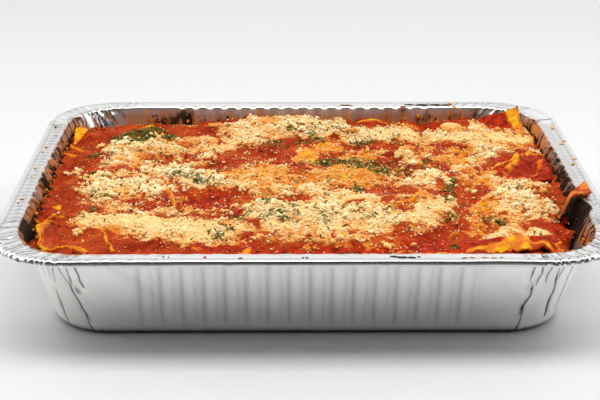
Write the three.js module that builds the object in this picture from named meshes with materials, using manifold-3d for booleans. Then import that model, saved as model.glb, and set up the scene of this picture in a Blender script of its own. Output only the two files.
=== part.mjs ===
// A baked lasagne in a half-size foil tray, in millimetres, +Z up.
// The origin is the middle of the tray's base, on the surface that it stands on; the long side runs along X,
// and -Y is the front. The foil is drawn thicker than real foil, so that it is a sound solid.
import * as THREE from "three";
import { mergeVertices } from "three/addons/utils/BufferGeometryUtils.js";
import Module from "manifold-3d";

const wasm = await Module();
wasm.setup();

// Tray, driving dimensions
const RIM_LENGTH = 324;
const RIM_DEPTH = 264;
const TRAY_HEIGHT = 55;
const MOUTH_LENGTH = 299;
const MOUTH_DEPTH = 239;
const BASE_LENGTH = 268;
const BASE_DEPTH = 206;
const RIM_CORNER = 41;
const MOUTH_CORNER = 35;
const BASE_CORNER = 30;
const FOIL = 0.8;
const BEAD = 3.6;
const FLANGE_DROP = 0.7;
const GROOVE = 0.5;
const SHOULDER = 1.5;
const BASE_FILLET = 3;

// Flutes pressed into the walls, and the pleats where the foil gathers round the corners
const FLUTE_DEPTH = 1.1;
const FLUTES = {
  front: { count: 16, pitch: 10.9 },
  back: { count: 17, pitch: 9.4 },
  side: { count: 10, pitch: 10.8 },
};
const CORNER_STEPS = 8;
const PLEAT_DEPTH = 0.45;

// The dent in the right rim: the wall's top is pushed out into the flange, which sags there
const DENT = { y: -57, halfWidth: 9, out: 1.8, sag: 1.4, reach: 6 };

// Lasagne, driving dimensions
const GAP = 0.3;
const FILL_LEVEL = 45.6;
const BODY_FOOT = FOIL + GAP;
const SLACK = 0.3;
const EDGE_DROP = 4.5;
const EDGE_BAND = 7;
const BODY_WALL_STEPS = 9;
const BODY_CORNER_STEPS = 5;
const BODY_RINGS = 8;
const NOODLE = 1.7;

// The rise and fall of the lasagne's top: each is a soft mound, or a hollow where rise is negative
const SWELLS = {
  backSwell: { x: -18, y: 98, rx: 52, ry: 20, turn: 0, rise: 2.4 },
  backLeftSag: { x: -92, y: 110, rx: 36, ry: 14, turn: 0, rise: -2.2 },
  herbMound: { x: -103, y: 84, rx: 17, ry: 11, turn: 0, rise: 2.4 },
  backDip: { x: 80, y: 104, rx: 9, ry: 15, turn: 0, rise: -3.6 },
  backRightSwell: { x: 60, y: 78, rx: 60, ry: 14, turn: 0, rise: 1.6 },
  leftBand: { x: -95, y: 50, rx: 34, ry: 10, turn: -8, rise: 1.5 },
  leftMound: { x: -72, y: 8, rx: 30, ry: 12, turn: 12, rise: 1.8 },
  redPool: { x: -56, y: -30, rx: 13, ry: 10, turn: 0, rise: -3.6 },
  centreSwell: { x: -2, y: 12, rx: 38, ry: 20, turn: 0, rise: 1.4 },
  centreHollow: { x: 26, y: 46, rx: 17, ry: 6, turn: 0, rise: -2.2 },
  frontLeftMound: { x: -82, y: -76, rx: 42, ry: 16, turn: -8, rise: 2.1 },
  frontMound: { x: 18, y: -60, rx: 46, ry: 20, turn: 0, rise: 2.0 },
  frontTrough: { x: 0, y: -100, rx: 60, ry: 8, turn: 0, rise: -1.6 },
  rightHollow: { x: 99, y: -44, rx: 8, ry: 10, turn: 0, rise: -2.2 },
  rightMound: { x: 122, y: -36, rx: 18, ry: 18, turn: 0, rise: 1.8 },
  rightPool: { x: 142, y: -76, rx: 11, ry: 20, turn: 0, rise: -6 },
  leftCavity: { x: -142, y: -68, rx: 6, ry: 9, turn: 0, rise: -9 },
};

const lerp = (a, b, t) => a + (b - a) * t;
const bell = (d) => Math.exp(-d * d);

// A rounded rectangle of the tray at one level, as a station on it: where it is, and which way is out.
function onOutline(station, { halfX, halfY, corner }) {
  if (station.side === undefined) {
    const { sx, sy, angle } = station;
    const nx = Math.cos(angle);
    const ny = Math.sin(angle);
    return { x: sx * (halfX - corner) + corner * nx, y: sy * (halfY - corner) + corner * ny, nx, ny };
  }
  const { nx, ny } = station.side;
  return { x: nx * halfX - ny * station.along, y: ny * halfY + nx * station.along, nx, ny };
}

// The stations round the tray, anticlockwise from the front wall's left end: two for each flute, then a corner.
function trayStations() {
  const sides = [
    { nx: 0, ny: -1, ...FLUTES.front },
    { nx: 1, ny: 0, ...FLUTES.side },
    { nx: 0, ny: 1, ...FLUTES.back },
    { nx: -1, ny: 0, ...FLUTES.side },
  ];
  const stations = [];
  sides.forEach((side, k) => {
    const steps = side.count * 2;
    for (let i = 0; i <= steps; i++) {
      const along = (i / 2 - side.count / 2) * side.pitch;
      const atEnd = i === 0 || i === steps;
      stations.push({ side, along, wave: atEnd ? 0 : i % 2 ? 1 : -1, pleat: 0 });
    }
    const sx = k < 2 ? 1 : -1;
    const sy = k === 1 || k === 2 ? 1 : -1;
    for (let i = 0; i <= CORNER_STEPS; i++) {
      const angle = ((k - 1 + i / CORNER_STEPS) * Math.PI) / 2;
      const inside = i > 0 && i < CORNER_STEPS;
      stations.push({ sx, sy, angle, wave: 0, pleat: inside ? (i % 2 ? 1 : -1) : 0 });
    }
  });
  return stations;
}

// The wall's outline at height z, measured on its outer face and moved in by inset.
function wallOutline(z, inset = 0) {
  const t = THREE.MathUtils.clamp(z / TRAY_HEIGHT, 0, 1);
  return {
    halfX: lerp(BASE_LENGTH, MOUTH_LENGTH, t) / 2 - inset,
    halfY: lerp(BASE_DEPTH, MOUTH_DEPTH, t) / 2 - inset,
    corner: lerp(BASE_CORNER, MOUTH_CORNER, t) - inset,
  };
}

// The rim's outline at a distance in from its outer edge.
function rimOutline(inset) {
  const t = inset / ((RIM_LENGTH - MOUTH_LENGTH) / 2);
  return {
    halfX: RIM_LENGTH / 2 - inset,
    halfY: RIM_DEPTH / 2 - inset,
    corner: lerp(RIM_CORNER, MOUTH_CORNER, t),
  };
}

// The tray's section, from the middle of the underside out, up, round the bead and back down the inside.
// Each level has its outline, its height, and how far its flutes and pleats go.
function trayLevels() {
  const flangeTop = TRAY_HEIGHT - FLANGE_DROP;
  const flangeUnder = flangeTop - FOIL;
  const beadMiddle = TRAY_HEIGHT - BEAD / 2;
  const wallTop = flangeTop - 2 * SHOULDER;
  const wallFoot = BASE_FILLET + 4;
  const wall = (z, inset, wave) => ({ ...wallOutline(z, inset), z, wave, pleat: wave });
  const rim = (inset, z, wave, pleat = 0.5) => ({ ...rimOutline(inset), z, wave, pleat });
  const beadPoint = (degrees) => {
    const a = THREE.MathUtils.degToRad(degrees);
    const r = BEAD / 2;
    return rim(r - r * Math.cos(a), beadMiddle + r * Math.sin(a), 0);
  };
  const flangeWidth = (RIM_LENGTH - MOUTH_LENGTH) / 2;
  return [
    { ...wallOutline(0, BASE_FILLET), z: 0, wave: 0, pleat: 0 },
    wall(BASE_FILLET, 0, 0),
    wall(wallFoot, 0, 0.8),
    wall(wallTop, 0, 1),
    rim(flangeWidth - SHOULDER, flangeUnder, 0.5),
    rim(BEAD, flangeUnder, 0),
    beadPoint(-90),
    beadPoint(0),
    beadPoint(50),
    beadPoint(90),
    rim(BEAD + GROOVE, flangeTop - GROOVE, 0),
    rim(BEAD + 5 * GROOVE, flangeTop, 0),
    rim(flangeWidth - SHOULDER, flangeTop, 0.6),
    wall(flangeTop - SHOULDER, FOIL, 1),
    wall(wallTop, FOIL, 1),
    wall(wallFoot, FOIL, 0.8),
    wall(BASE_FILLET, FOIL, 0),
    { ...wallOutline(0, BASE_FILLET + FOIL / 2), z: FOIL, wave: 0, pleat: 0 },
  ];
}

// How far the dent pushes a point of the wall's top or the rim out, and down. The bead keeps its line.
function dentAt(x, y, z) {
  const beadInside = RIM_LENGTH / 2 - BEAD;
  const near = bell((y - DENT.y) / DENT.halfWidth);
  const high = THREE.MathUtils.smoothstep(z, TRAY_HEIGHT / 2, TRAY_HEIGHT);
  const share = x > 0 ? near * high * THREE.MathUtils.clamp((beadInside - x) / DENT.reach, 0, 1) : 0;
  return { out: DENT.out * share, down: DENT.sag * share };
}

// A closed mesh from rings of points, with a point to close each end. The first end faces down.
function closedLoft(rings, first, last) {
  const n = rings[0].length;
  const positions = [...rings.flat(), first, last].flat();
  const index = [];
  const firstAt = rings.length * n;
  const lastAt = firstAt + 1;
  for (let i = 0; i < n; i++) {
    const j = (i + 1) % n;
    index.push(firstAt, j, i);
    for (let k = 0; k + 1 < rings.length; k++) {
      const [a, b, c, d] = [k * n + i, k * n + j, (k + 1) * n + j, (k + 1) * n + i];
      index.push(a, b, c, a, c, d);
    }
    const top = (rings.length - 1) * n;
    index.push(lastAt, top + i, top + j);
  }
  const geometry = new THREE.BufferGeometry();
  geometry.setAttribute("position", new THREE.Float32BufferAttribute(positions, 3));
  geometry.setIndex(index);
  return geometry;
}

function trayGeometry() {
  const stations = trayStations();
  const rings = trayLevels().map((level) =>
    stations.map((station) => {
      const p = onOutline(station, level);
      const dent = dentAt(p.x, p.y, level.z);
      const flute = station.wave * level.wave * FLUTE_DEPTH;
      const out = flute + station.pleat * level.pleat * PLEAT_DEPTH + dent.out;
      return [p.x + p.nx * out, p.y + p.ny * out, level.z - dent.down];
    }),
  );
  return closedLoft(rings, [0, 0, 0], [0, 0, FOIL]);
}

// The height of the lasagne's top, away from its edge.
function topHeight(x, y) {
  return Object.values(SWELLS).reduce((z, s) => {
    const a = THREE.MathUtils.degToRad(s.turn);
    const u = ((x - s.x) * Math.cos(a) + (y - s.y) * Math.sin(a)) / s.rx;
    const v = ((y - s.y) * Math.cos(a) - (x - s.x) * Math.sin(a)) / s.ry;
    return z + s.rise * bell(Math.hypot(u, v));
  }, FILL_LEVEL);
}

// The stations round the lasagne, in the same order as the tray's: along a wall, then round a corner.
function bodyStations() {
  const sides = [
    { nx: 0, ny: -1, sx: 1, sy: -1 },
    { nx: 1, ny: 0, sx: 1, sy: 1 },
    { nx: 0, ny: 1, sx: -1, sy: 1 },
    { nx: -1, ny: 0, sx: -1, sy: -1 },
  ];
  const stations = [];
  sides.forEach((side, k) => {
    for (let i = 0; i < BODY_WALL_STEPS; i++) stations.push({ side, share: (2 * i) / BODY_WALL_STEPS - 1 });
    for (let i = 0; i < BODY_CORNER_STEPS; i++) {
      stations.push({ sx: side.sx, sy: side.sy, angle: ((k - 1 + i / BODY_CORNER_STEPS) * Math.PI) / 2 });
    }
  });
  return stations;
}

// A body station's point at height z, moved in from the wall's outer face by inset.
function besideWall(station, z, inset) {
  const outline = wallOutline(z, inset);
  if (station.side === undefined) return onOutline(station, outline);
  const half = (station.side.nx ? outline.halfY : outline.halfX) - outline.corner;
  return onOutline({ side: station.side, along: station.share * half }, outline);
}

// The lasagne fills the tray, standing off the foil a little, and slopes down where it meets the wall.
function bodyGeometry() {
  const clear = FOIL + FLUTE_DEPTH + GAP + SLACK;
  const stations = bodyStations();
  const level = (z, inset) =>
    stations.map((s) => {
      const p = besideWall(s, z, inset);
      return [p.x, p.y, z];
    });
  const belowTop = (drop, inset) =>
    stations.map((s) => {
      const near = besideWall(s, FILL_LEVEL - drop, inset);
      const z = topHeight(near.x, near.y) - drop;
      const p = besideWall(s, z, inset);
      return [p.x, p.y, z];
    });
  const shrunk = (scale) =>
    stations.map((s) => {
      const p = besideWall(s, FILL_LEVEL, clear + EDGE_BAND);
      return [p.x * scale, p.y * scale, topHeight(p.x * scale, p.y * scale)];
    });
  const rings = [
    level(BODY_FOOT, BASE_FILLET + clear),
    level(BODY_FOOT + BASE_FILLET, clear),
    belowTop(EDGE_DROP, clear),
    belowTop(EDGE_DROP / 3, clear + EDGE_BAND / 4),
  ];
  for (let k = 0; k < BODY_RINGS; k++) rings.push(shrunk(1 - k / BODY_RINGS));
  return closedLoft(rings, [0, 0, BODY_FOOT], [0, 0, topHeight(0, 0)]);
}

// A piece of lasagne noodle of even thickness over at(u, v), a surface with u and v from 0 to 1.
// grow makes it thicker all round, which cuts the pocket that it sits in.
function noodleGeometry(at, stepsU, stepsV, grow = 0) {
  const half = NOODLE / 2 + grow;
  const point = (u, v) => new THREE.Vector3(...at(u, v));
  const rows = [[], []];
  for (let j = 0; j <= stepsV; j++) {
    for (let i = 0; i <= stepsU; i++) {
      const u = i / stepsU;
      const v = j / stepsV;
      const along = point(Math.min(u + 0.01, 1), v).sub(point(Math.max(u - 0.01, 0), v)).normalize();
      const across = point(u, Math.min(v + 0.01, 1)).sub(point(u, Math.max(v - 0.01, 0))).normalize();
      const normal = along.clone().cross(across).normalize();
      const p = point(u, v)
        .addScaledVector(along, i === 0 ? -grow : i === stepsU ? grow : 0)
        .addScaledVector(across, j === 0 ? -grow : j === stepsV ? grow : 0);
      rows[0].push(p.clone().addScaledVector(normal, -half));
      rows[1].push(p.clone().addScaledVector(normal, half));
    }
  }
  const w = stepsU + 1;
  const count = w * (stepsV + 1);
  const index = [];
  const quad = (a, b, c, d) => index.push(a, b, c, a, c, d);
  for (let j = 0; j < stepsV; j++) {
    for (let i = 0; i < stepsU; i++) {
      const [a, b, c, d] = [j * w + i, j * w + i + 1, (j + 1) * w + i + 1, (j + 1) * w + i];
      quad(count + a, count + b, count + c, count + d);
      quad(a, d, c, b);
    }
  }
  const rim = [];
  for (let i = 0; i < stepsU; i++) rim.push(i);
  for (let j = 0; j < stepsV; j++) rim.push(j * w + stepsU);
  for (let i = stepsU; i > 0; i--) rim.push(stepsV * w + i);
  for (let j = stepsV; j > 0; j--) rim.push(j * w);
  rim.forEach((a, k) => {
    const b = rim[(k + 1) % rim.length];
    quad(a, b, count + b, count + a);
  });
  const positions = rows.flat().flatMap((p) => p.toArray());
  const geometry = new THREE.BufferGeometry();
  geometry.setAttribute("position", new THREE.Float32BufferAttribute(positions, 3));
  geometry.setIndex(index);
  return geometry;
}

// A patch between four corners, each [x, y, z].
function patch(frontLeft, frontRight, backRight, backLeft) {
  return (u, v) =>
    [0, 1, 2].map((k) => lerp(lerp(frontLeft[k], frontRight[k], u), lerp(backLeft[k], backRight[k], u), v));
}

// The noodle pieces that stand out of the sauce: u runs along each, and v across it, to its free edge.
const NOODLES = {
  // the top sheet's end, lifted off the layer below it in the front left corner
  noodle_lip_front_left: {
    steps: [8, 3],
    at: (u, v) => {
      const y = lerp(-57, -97, u);
      const reach = 10 * Math.sin(Math.PI * (0.16 + 0.72 * u)) - 1.5 * u;
      const lift = 1.2 + 4.2 * bell((y + 76) / 12);
      return [-132.5 - reach * v, y, 43.6 + lift * v ** 1.5];
    },
  },
  // a wave of noodle in the front right corner, hollow under its crown
  noodle_arch_front_right: {
    steps: [10, 3],
    at: (u, v) => {
      const crown = 7.4 * Math.sin(Math.PI * u) ** 1.3;
      return [lerp(84, 131, u), lerp(-80, -104, v) + 7 * (2 * u - 1) ** 2 * v, 41.4 + crown * (0.5 + 0.5 * v)];
    },
  },
  // the top sheet's corner, curled up over the tray's back right corner
  noodle_corner_back_right: {
    steps: [6, 6],
    at: (u, v) => {
      const [x, y, z] = patch([114, 82, 43.2], [143.2, 74, 43.2], [139.5, 108.5, 46], [112, 110.5, 43.6])(u, v);
      return [x, y, z + 12.6 * (u * v) ** 1.8];
    },
  },
  // a browned strip, stuck to the right wall and hooked over the rim
  noodle_strip_right_rim: {
    steps: [7, 2],
    at: (u, v) => {
      const over = THREE.MathUtils.smoothstep(u, 0.18, 0.5);
      const width = lerp(12, 7, over) + 9 * THREE.MathUtils.smoothstep(u, 0.5, 0.85);
      return [lerp(137, 156.5, u), lerp(-52, -36, u) + width * (v - 0.5), lerp(44.5 + 14 * u, 56, over)];
    },
  },
  // a bare corner of noodle against the left wall, near the back
  noodle_tab_back_left: {
    steps: [3, 3],
    at: patch([-140, 60, 42.5], [-131, 66, 42], [-133, 88, 46.5], [-142.5, 86, 48.5]),
  },
  // a fold of noodle that stands beside the pool of sauce
  noodle_fin_middle: {
    steps: [8, 3],
    at: (u, v) => {
      const y = lerp(-6, -54, u);
      return [lerp(-87, -76, v) + 9 * u * v, y, 42.4 + (1.4 + 5.6 * bell((y + 22) / 13)) * v ** 1.4];
    },
  },
  // folded noodle by the right wall
  noodle_folds_right: {
    steps: [12, 4],
    at: (u, v) => {
      const fold = Math.cos(2 * Math.PI * (1.5 * u + 0.3 * v));
      const spread = Math.sin(Math.PI * (0.15 + 0.7 * v));
      return [lerp(112, 142.5, u), lerp(5, 45, v) - 4 * u, 44.6 + 2.4 * fold * spread + 2 * u];
    },
  },
  // a low arch of noodle at the back
  noodle_arch_back: {
    steps: [8, 2],
    at: (u, v) => [lerp(35, 58, u), lerp(100, 110, v), 42 + 5.6 * Math.sin(Math.PI * u) * (0.5 + 0.5 * v)],
  },
  // the wavy end of a sheet along the front rim, on the left
  noodle_edge_front_left: {
    steps: [10, 2],
    at: (u, v) => {
      const x = lerp(-125, -97, u);
      return [x, lerp(-90, -102, v) + 5 * (1 - u) ** 2 * v, 43.2 + 1.4 * v * (1 + Math.sin(2.4 * Math.PI * u))];
    },
  },
};

// A blister of noodle, puffed up by the oven's heat.
const BLISTER = { x: 97, y: 100, z: 44.5, rx: 8, ry: 6.5, rz: 4.2 };

function blisterGeometry(grow = 0) {
  const { x, y, z, rx, ry, rz } = BLISTER;
  const ball = new THREE.SphereGeometry(1, 12, 8).rotateX(Math.PI / 2);
  return ball.scale(rx + grow, ry + grow, rz + grow).translate(x, y, z);
}

// To and from manifold-3d's solids
function toSolid(geometry) {
  const bare = new THREE.BufferGeometry().setAttribute("position", geometry.getAttribute("position"));
  bare.setIndex(geometry.index);
  const merged = mergeVertices(bare, 1e-4);
  return new wasm.Manifold(
    new wasm.Mesh({
      numProp: 3,
      vertProperties: merged.attributes.position.array,
      triVerts: new Uint32Array(merged.index.array),
    }),
  );
}

function toGeometry(solid) {
  const mesh = solid.getMesh();
  const geometry = new THREE.BufferGeometry();
  geometry.setAttribute("position", new THREE.BufferAttribute(new Float32Array(mesh.vertProperties), 3));
  geometry.setIndex(new THREE.BufferAttribute(new Uint32Array(mesh.triVerts), 1));
  geometry.computeVertexNormals();
  return geometry;
}

const foil = new THREE.MeshStandardMaterial({ color: 0xc9c9c6, roughness: 0.28, metalness: 1 });
const sauce = new THREE.MeshStandardMaterial({ color: 0xb5381c, roughness: 0.45, metalness: 0 });
const noodle = new THREE.MeshStandardMaterial({ color: 0xe39a2a, roughness: 0.5, metalness: 0 });

function named(name, geometry, material) {
  const mesh = new THREE.Mesh(geometry, material.clone());
  mesh.name = name;
  return mesh;
}

// The meal: the tray, the lasagne with a pocket cut for each noodle piece, and the pieces themselves.
const meal = new THREE.Group();
meal.add(named("foil_tray", trayGeometry(), foil));
let body = toSolid(bodyGeometry());
for (const [name, { at, steps }] of Object.entries(NOODLES)) {
  meal.add(named(name, noodleGeometry(at, ...steps), noodle));
  body = body.subtract(toSolid(noodleGeometry(at, ...steps, GAP)));
}
meal.add(named("noodle_blister_back", blisterGeometry(), noodle));
body = body.subtract(toSolid(blisterGeometry(GAP)));
// the pockets cut a few thin slivers loose, which are dropped
const [whole] = body.decompose().sort((a, b) => b.volume() - a.volume());
meal.add(named("lasagne_body", toGeometry(whole), sauce));

export default meal;
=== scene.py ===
import math

import bpy
import numpy as np
from mathutils import Matrix, Vector


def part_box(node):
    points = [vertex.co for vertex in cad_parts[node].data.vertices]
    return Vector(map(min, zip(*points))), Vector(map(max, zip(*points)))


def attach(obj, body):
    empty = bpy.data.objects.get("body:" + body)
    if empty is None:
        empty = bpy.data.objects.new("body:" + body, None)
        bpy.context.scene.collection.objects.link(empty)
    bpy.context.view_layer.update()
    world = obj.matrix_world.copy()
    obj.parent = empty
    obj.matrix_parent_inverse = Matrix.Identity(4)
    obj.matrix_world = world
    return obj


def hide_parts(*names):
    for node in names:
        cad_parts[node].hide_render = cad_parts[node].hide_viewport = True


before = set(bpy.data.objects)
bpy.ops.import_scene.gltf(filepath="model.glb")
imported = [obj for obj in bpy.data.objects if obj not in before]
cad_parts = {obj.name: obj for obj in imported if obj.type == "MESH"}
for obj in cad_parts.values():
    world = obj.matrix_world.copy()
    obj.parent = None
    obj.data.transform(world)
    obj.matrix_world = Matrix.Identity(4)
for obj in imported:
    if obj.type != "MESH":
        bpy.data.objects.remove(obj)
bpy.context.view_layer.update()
bpy.context.scene.view_settings.view_transform = "Standard"

# ---- the camera ----
# A long lens, three quarters of a metre in front of the tray's middle and a third of a metre up, looks down
# across the meal at 21 degrees. All of it is in focus.
MM = 0.001
VIEWPOINT = (-10.10, -743.11, 324.36)
YAW, PITCH, ROLL = math.radians(-0.5565), math.radians(21.291), math.radians(0.1164)
SENSOR_WIDTH, FOCAL_LENGTH = 36, 82.08
lens = bpy.data.cameras.new("camera")
lens.sensor_width = SENSOR_WIDTH
lens.lens = FOCAL_LENGTH
camera = bpy.data.objects.new("camera", lens)
aim = Matrix.Rotation(YAW, 4, "Z") @ Matrix.Rotation(math.pi / 2 - PITCH, 4, "X")
aim = aim @ Matrix.Rotation(ROLL, 4, "Z")
camera.matrix_world = Matrix.Translation(Vector(VIEWPOINT) * MM) @ aim
bpy.context.collection.objects.link(camera)
bpy.context.scene.camera = camera

# ---- the foil tray ----
# A half-size steam-table tray pressed from one sheet of aluminium foil: the stroke flutes its walls and
# gathers the spare foil in pleats round its corners, and the rim is rolled into a bead. The sheet is a grid
# laid round the tray, one row for each level from the bead to the base. Lengths are in millimetres.
FOIL = 0.25
RIM = np.array(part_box("foil_tray")[1]) / MM
TRAY_TOP = RIM[2]
MOUTH_HALF, BASE_HALF = np.array([149.5, 119.5]), np.array([134.0, 103.0])
RIM_CORNER, MOUTH_CORNER, BASE_CORNER = 41.0, 35.0, 30.0
FLANGE_WIDTH, FLANGE_TOP = 12.5, TRAY_TOP - 0.7
SHOULDER, FOOT_FILLET = 2.2, 3.0
LONG_CELLS, SHORT_CELLS, CORNER_CELLS = 160, 200, 112
# the flutes of the front, right, back and left walls
FLUTE_PITCH, FLUTE_COUNT = [10.9, 10.8, 9.4, 10.8], [16, 10, 17, 10]
GROOVE_DEPTH, GROOVE_WIDTH = [0.55, 1.9, 1.5, 1.9], [1.9, 1.0, 1.2, 1.0]
LOBE_DEPTH = [0.22, 0.4, 0.45, 0.4]
SIDE_BULGE = 1.2
# a dent in the right rim: its place along it, its half length, and how far it goes out and down
DENT_Y, DENT_HALF, DENT_OUT, DENT_SAG = -57.0, 8.0, 3.0, 1.3
# the sheet's ends meet in the back right corner
SEAM_STATION = LONG_CELLS + CORNER_CELLS + SHORT_CELLS + 52
# the bead's section, from its tucked edge up and over: how far in from the rim, how far below its top, and
# how deep its painted shade is: a painted shadow under the tucked edge, a dark band across its front that
# paints the dim room it reflects, and a faint grey over its top that dims its highlight
BEAD = [
    (1.7, 3.9, 1.0), (0.8, 4.2, 0.85), (0.25, 4.1, 0.1), (0.03, 3.75, 0.0), (0.0, 3.4, 0.3),
    (0.0, 3.0, 0.68), (0.03, 2.6, 0.72), (0.12, 2.2, 0.3), (0.3, 1.75, 0.0), (0.55, 1.3, 0.0),
    (0.95, 1.02, 0.04), (1.7, 0.84, 0.04), (2.5, 0.66, 0.06), (3.3, 0.6, 0.08),
]
# the flange's rows: how far in from the rim each is, and how far it sinks
FLANGE_ROWS = [(4.2, 0.3), (5.2, 0.05), (6.2, 0.2), (7.0, 0.0), (8.4, 0.0), (9.4, 0.0)]
# the rows of the shoulder, the wall, the foot and the base: angles round a bend in degrees, heights, angles
# and painted shade, which is a shadow at the foot, and shares of the way out
SHOULDER_ANGLES = (15, 28, 40, 51, 62, 72, 81, 90)
WALL_HEIGHTS = [*np.linspace(50.6, 7, 24), 5.0, FOOT_FILLET]
FOOT_ROWS, BASE_SHARES = [(40, 0.85), (70, 1.0), (90, 1.0)], (0.93, 0.5, 0.0)
# how far the flange lies below the bead at the front, and how far it slopes down inwards there
FRONT_SINK, FRONT_DIP = 1.1, 1.0
# a crease's painted shade over the rim at the back right corner: its places, its half width, and its lowest
# point
CORNER_CREASE, CREASE_WIDTH, CREASE_FOOT = [(147, 88.5), (149, 90.5), (154, 90.7), (159, 92.8)], 0.9, 46
# a pattern that runs round the tray takes these steps at a station of a corner, a short and a long wall
CORNER_STEP, SHORT_STEP, LONG_STEP = 0.58, 0.8, 1.35
# the ridges across the flange's short sides
RIDGE_PITCH = 5.4
# a corner's small folds: how many run down its wall at the back, and how many hang from the rim
DEEP_FOLDS, RIM_FOLDS = 7, 12
# the rim's pleats run from this far before a corner's start to this far after it, from close to far apart
PLEATS_FROM, PLEATS_TO, PLEAT_CLOSE, PLEAT_FAR, BACK_PLEATS = -16, 82, 1.4, 4.2, 0.55
# more pleats beyond the front left corner, with their depth and lean
LATE_PLEATS, LATE_DEPTH, LATE_LEAN = (70, 74, 79, 85, 90, 97, 108), 0.35, 1.1
# where sauce burned on the back wall: along it, height, half size and depth
WALL_BURNS = [
    (-94, 45, 4, 0.4), (-85, 46, 4, 0.5), (-79, 50, 2.6, 0.8), (-76, 46, 3, 0.7), (-70, 52, 2.6, 0.8),
    (-66, 49, 2, 0.5), (-58, 50, 3, 0.6), (-52, 47, 3, 0.4), (77, 47, 8, 0.35),
]

# the folds in the corners: each is a run of places on the wall, as its share of the way round the
# corner, its height and how sharp it is there
FRONT_LEFT_FOLDS = [
    [(0.36, 50, 0.5), (0.33, 36, 0.6), (0.3, 20, 0.6), (0.28, 8, 0.5)],
    [(0.49, 50, 0.5), (0.49, 38, 0.6), (0.48, 34, 0.3)],
    [(0.58, 50, 0.5), (0.578, 40, 0.5), (0.557, 34, 0.4)],
    [(0.65, 50, 0.8), (0.655, 41, 1.0), (0.645, 38, 0.8), (0.615, 34, 0.6), (0.595, 30.6, 0.5)],
    [
        (0.57, 26, 0.4), (0.565, 23, 0.9), (0.555, 20, 1.2),
        (0.547, 14, 1.5), (0.525, 8, 1.3), (0.53, 3, 0.7),
    ],
    [
        (0.735, 50, 0.5), (0.743, 40, 0.7), (0.755, 36.4, 0.6), (0.792, 32.5, 0.8), (0.795, 28.6, 1.2),
        (0.808, 24, 1.2), (0.825, 20.5, 1.1), (0.822, 17, 1.2), (0.85, 12.2, 0.7), (0.877, 8.6, 0.5),
    ],
    [(0.828, 16, 0.6), (0.833, 10, 0.8), (0.845, 3, 0.8)],
    [(0.82, 50, 0.4), (0.828, 40.6, 0.7), (0.828, 37.7, 0.6), (0.818, 34, 0.9), (0.82, 32.4, 0.5)],
    [(0.9, 50, 0.6), (0.907, 43.4, 0.8), (0.92, 38.7, 1.0), (0.913, 35, 1.0), (0.927, 31.7, 0.9)],
    [(0.847, 30.5, 0.6), (0.855, 28, 1.0), (0.86, 27, 0.4)],
    [(0.88, 28.8, 0.6), (0.885, 27.2, 0.6)],
]
BACK_LEFT_FOLDS = [
    [
        (0.86, 54.3, 3.0), (0.743, 53.5, 3.4), (0.682, 53.0, 3.2),
        (0.645, 50.8, 2.4), (0.652, 47.8, 1.4), (0.68, 45, 0.6),
    ],
    [(0.6, 54, 1.2), (0.61, 50, 1.4), (0.62, 45, 1.0)],
    [(0.52, 53.5, 1.2), (0.46, 49, 1.4), (0.42, 44, 1.2)],
    [(0.47, 53.5, 1.0), (0.41, 49, 1.3), (0.37, 44, 0.8)],
    [(0.4, 53, 0.8), (0.34, 48, 1.2), (0.3, 44, 0.8)],
    [(0.29, 53, 0.9), (0.22, 49, 1.1), (0.18, 44, 0.7)],
    [(0.8, 53, 0.8), (0.78, 49, 1.1), (0.79, 44, 1.0)],
    [(0.92, 53, 0.8), (0.92, 48, 1.0), (0.94, 44, 0.8)],
    [(0.12, 53, 0.6), (0.08, 49, 0.9)],
]
BACK_RIGHT_FOLDS = [
    [(0.0, 54.3, 3.0), (0.1, 53.6, 3.2), (0.14, 52.5, 3.0), (0.18, 50.5, 2.2), (0.2, 48.5, 1.0)],
    [(0.3, 53, 1.0), (0.3, 48, 1.2), (0.32, 44, 0.8)],
    [(0.45, 53, 1.0), (0.47, 48, 1.3), (0.48, 44, 0.8)],
    [(0.62, 53.5, 1.2), (0.66, 49, 1.5), (0.68, 44, 1.0)],
    [(0.75, 53, 0.8), (0.8, 48, 1.1), (0.82, 44, 0.8)],
    [(0.9, 53, 0.7), (0.93, 48, 1.0)],
    [(0.08, 51, 0.8), (0.06, 46, 1.0), (0.07, 42, 0.7)],
]
FRONT_RIGHT_FOLDS = [
    [(0.04, 50, 0.6), (0.04, 43.5, 0.8), (0.035, 39.5, 0.9), (0.035, 36, 0.8)],
    [(0.062, 33.5, 0.4), (0.035, 29.5, 0.3)],
    [(0.08, 31.2, 0.8), (0.09, 29.5, 1.5), (0.098, 27.5, 0.7)],
    [(0.1, 26, 1.0), (0.085, 21.5, 1.2), (0.073, 18.6, 1.1), (0.083, 15, 1.3), (0.08, 12.5, 0.8)],
    [(0.058, 17.5, 0.7), (0.052, 11.9, 0.5)],
    [(0.093, 12, 0.7), (0.102, 6.3, 0.9), (0.095, 2.6, 0.9)],
    [(0.12, 50, 0.6), (0.12, 43.2, 0.7), (0.133, 39, 0.8), (0.122, 35.7, 1.0), (0.117, 32.5, 0.9)],
    [(0.22, 50, 0.6), (0.22, 42.4, 0.8), (0.21, 39.7, 0.9), (0.2, 36.3, 0.8), (0.215, 33.7, 0.7)],
    [
        (0.3, 50, 0.6), (0.302, 41.6, 0.8), (0.325, 38.4, 0.8), (0.328, 34.8, 1.1), (0.365, 29.6, 1.2),
        (0.375, 25.2, 1.4), (0.368, 20.8, 1.8), (0.383, 16.8, 1.7), (0.41, 11.5, 1.5), (0.42, 7.9, 0.8),
    ],
    [(0.4, 44, 0.4), (0.38, 38.1, 0.7), (0.37, 34.8, 0.6), (0.353, 33.4, 0.3)],
    [
        (0.545, 48, 0.6), (0.545, 38, 0.9), (0.552, 31.5, 0.8),
        (0.573, 24, 0.9), (0.6, 15, 0.8), (0.62, 8, 0.6),
    ],
]


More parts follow.
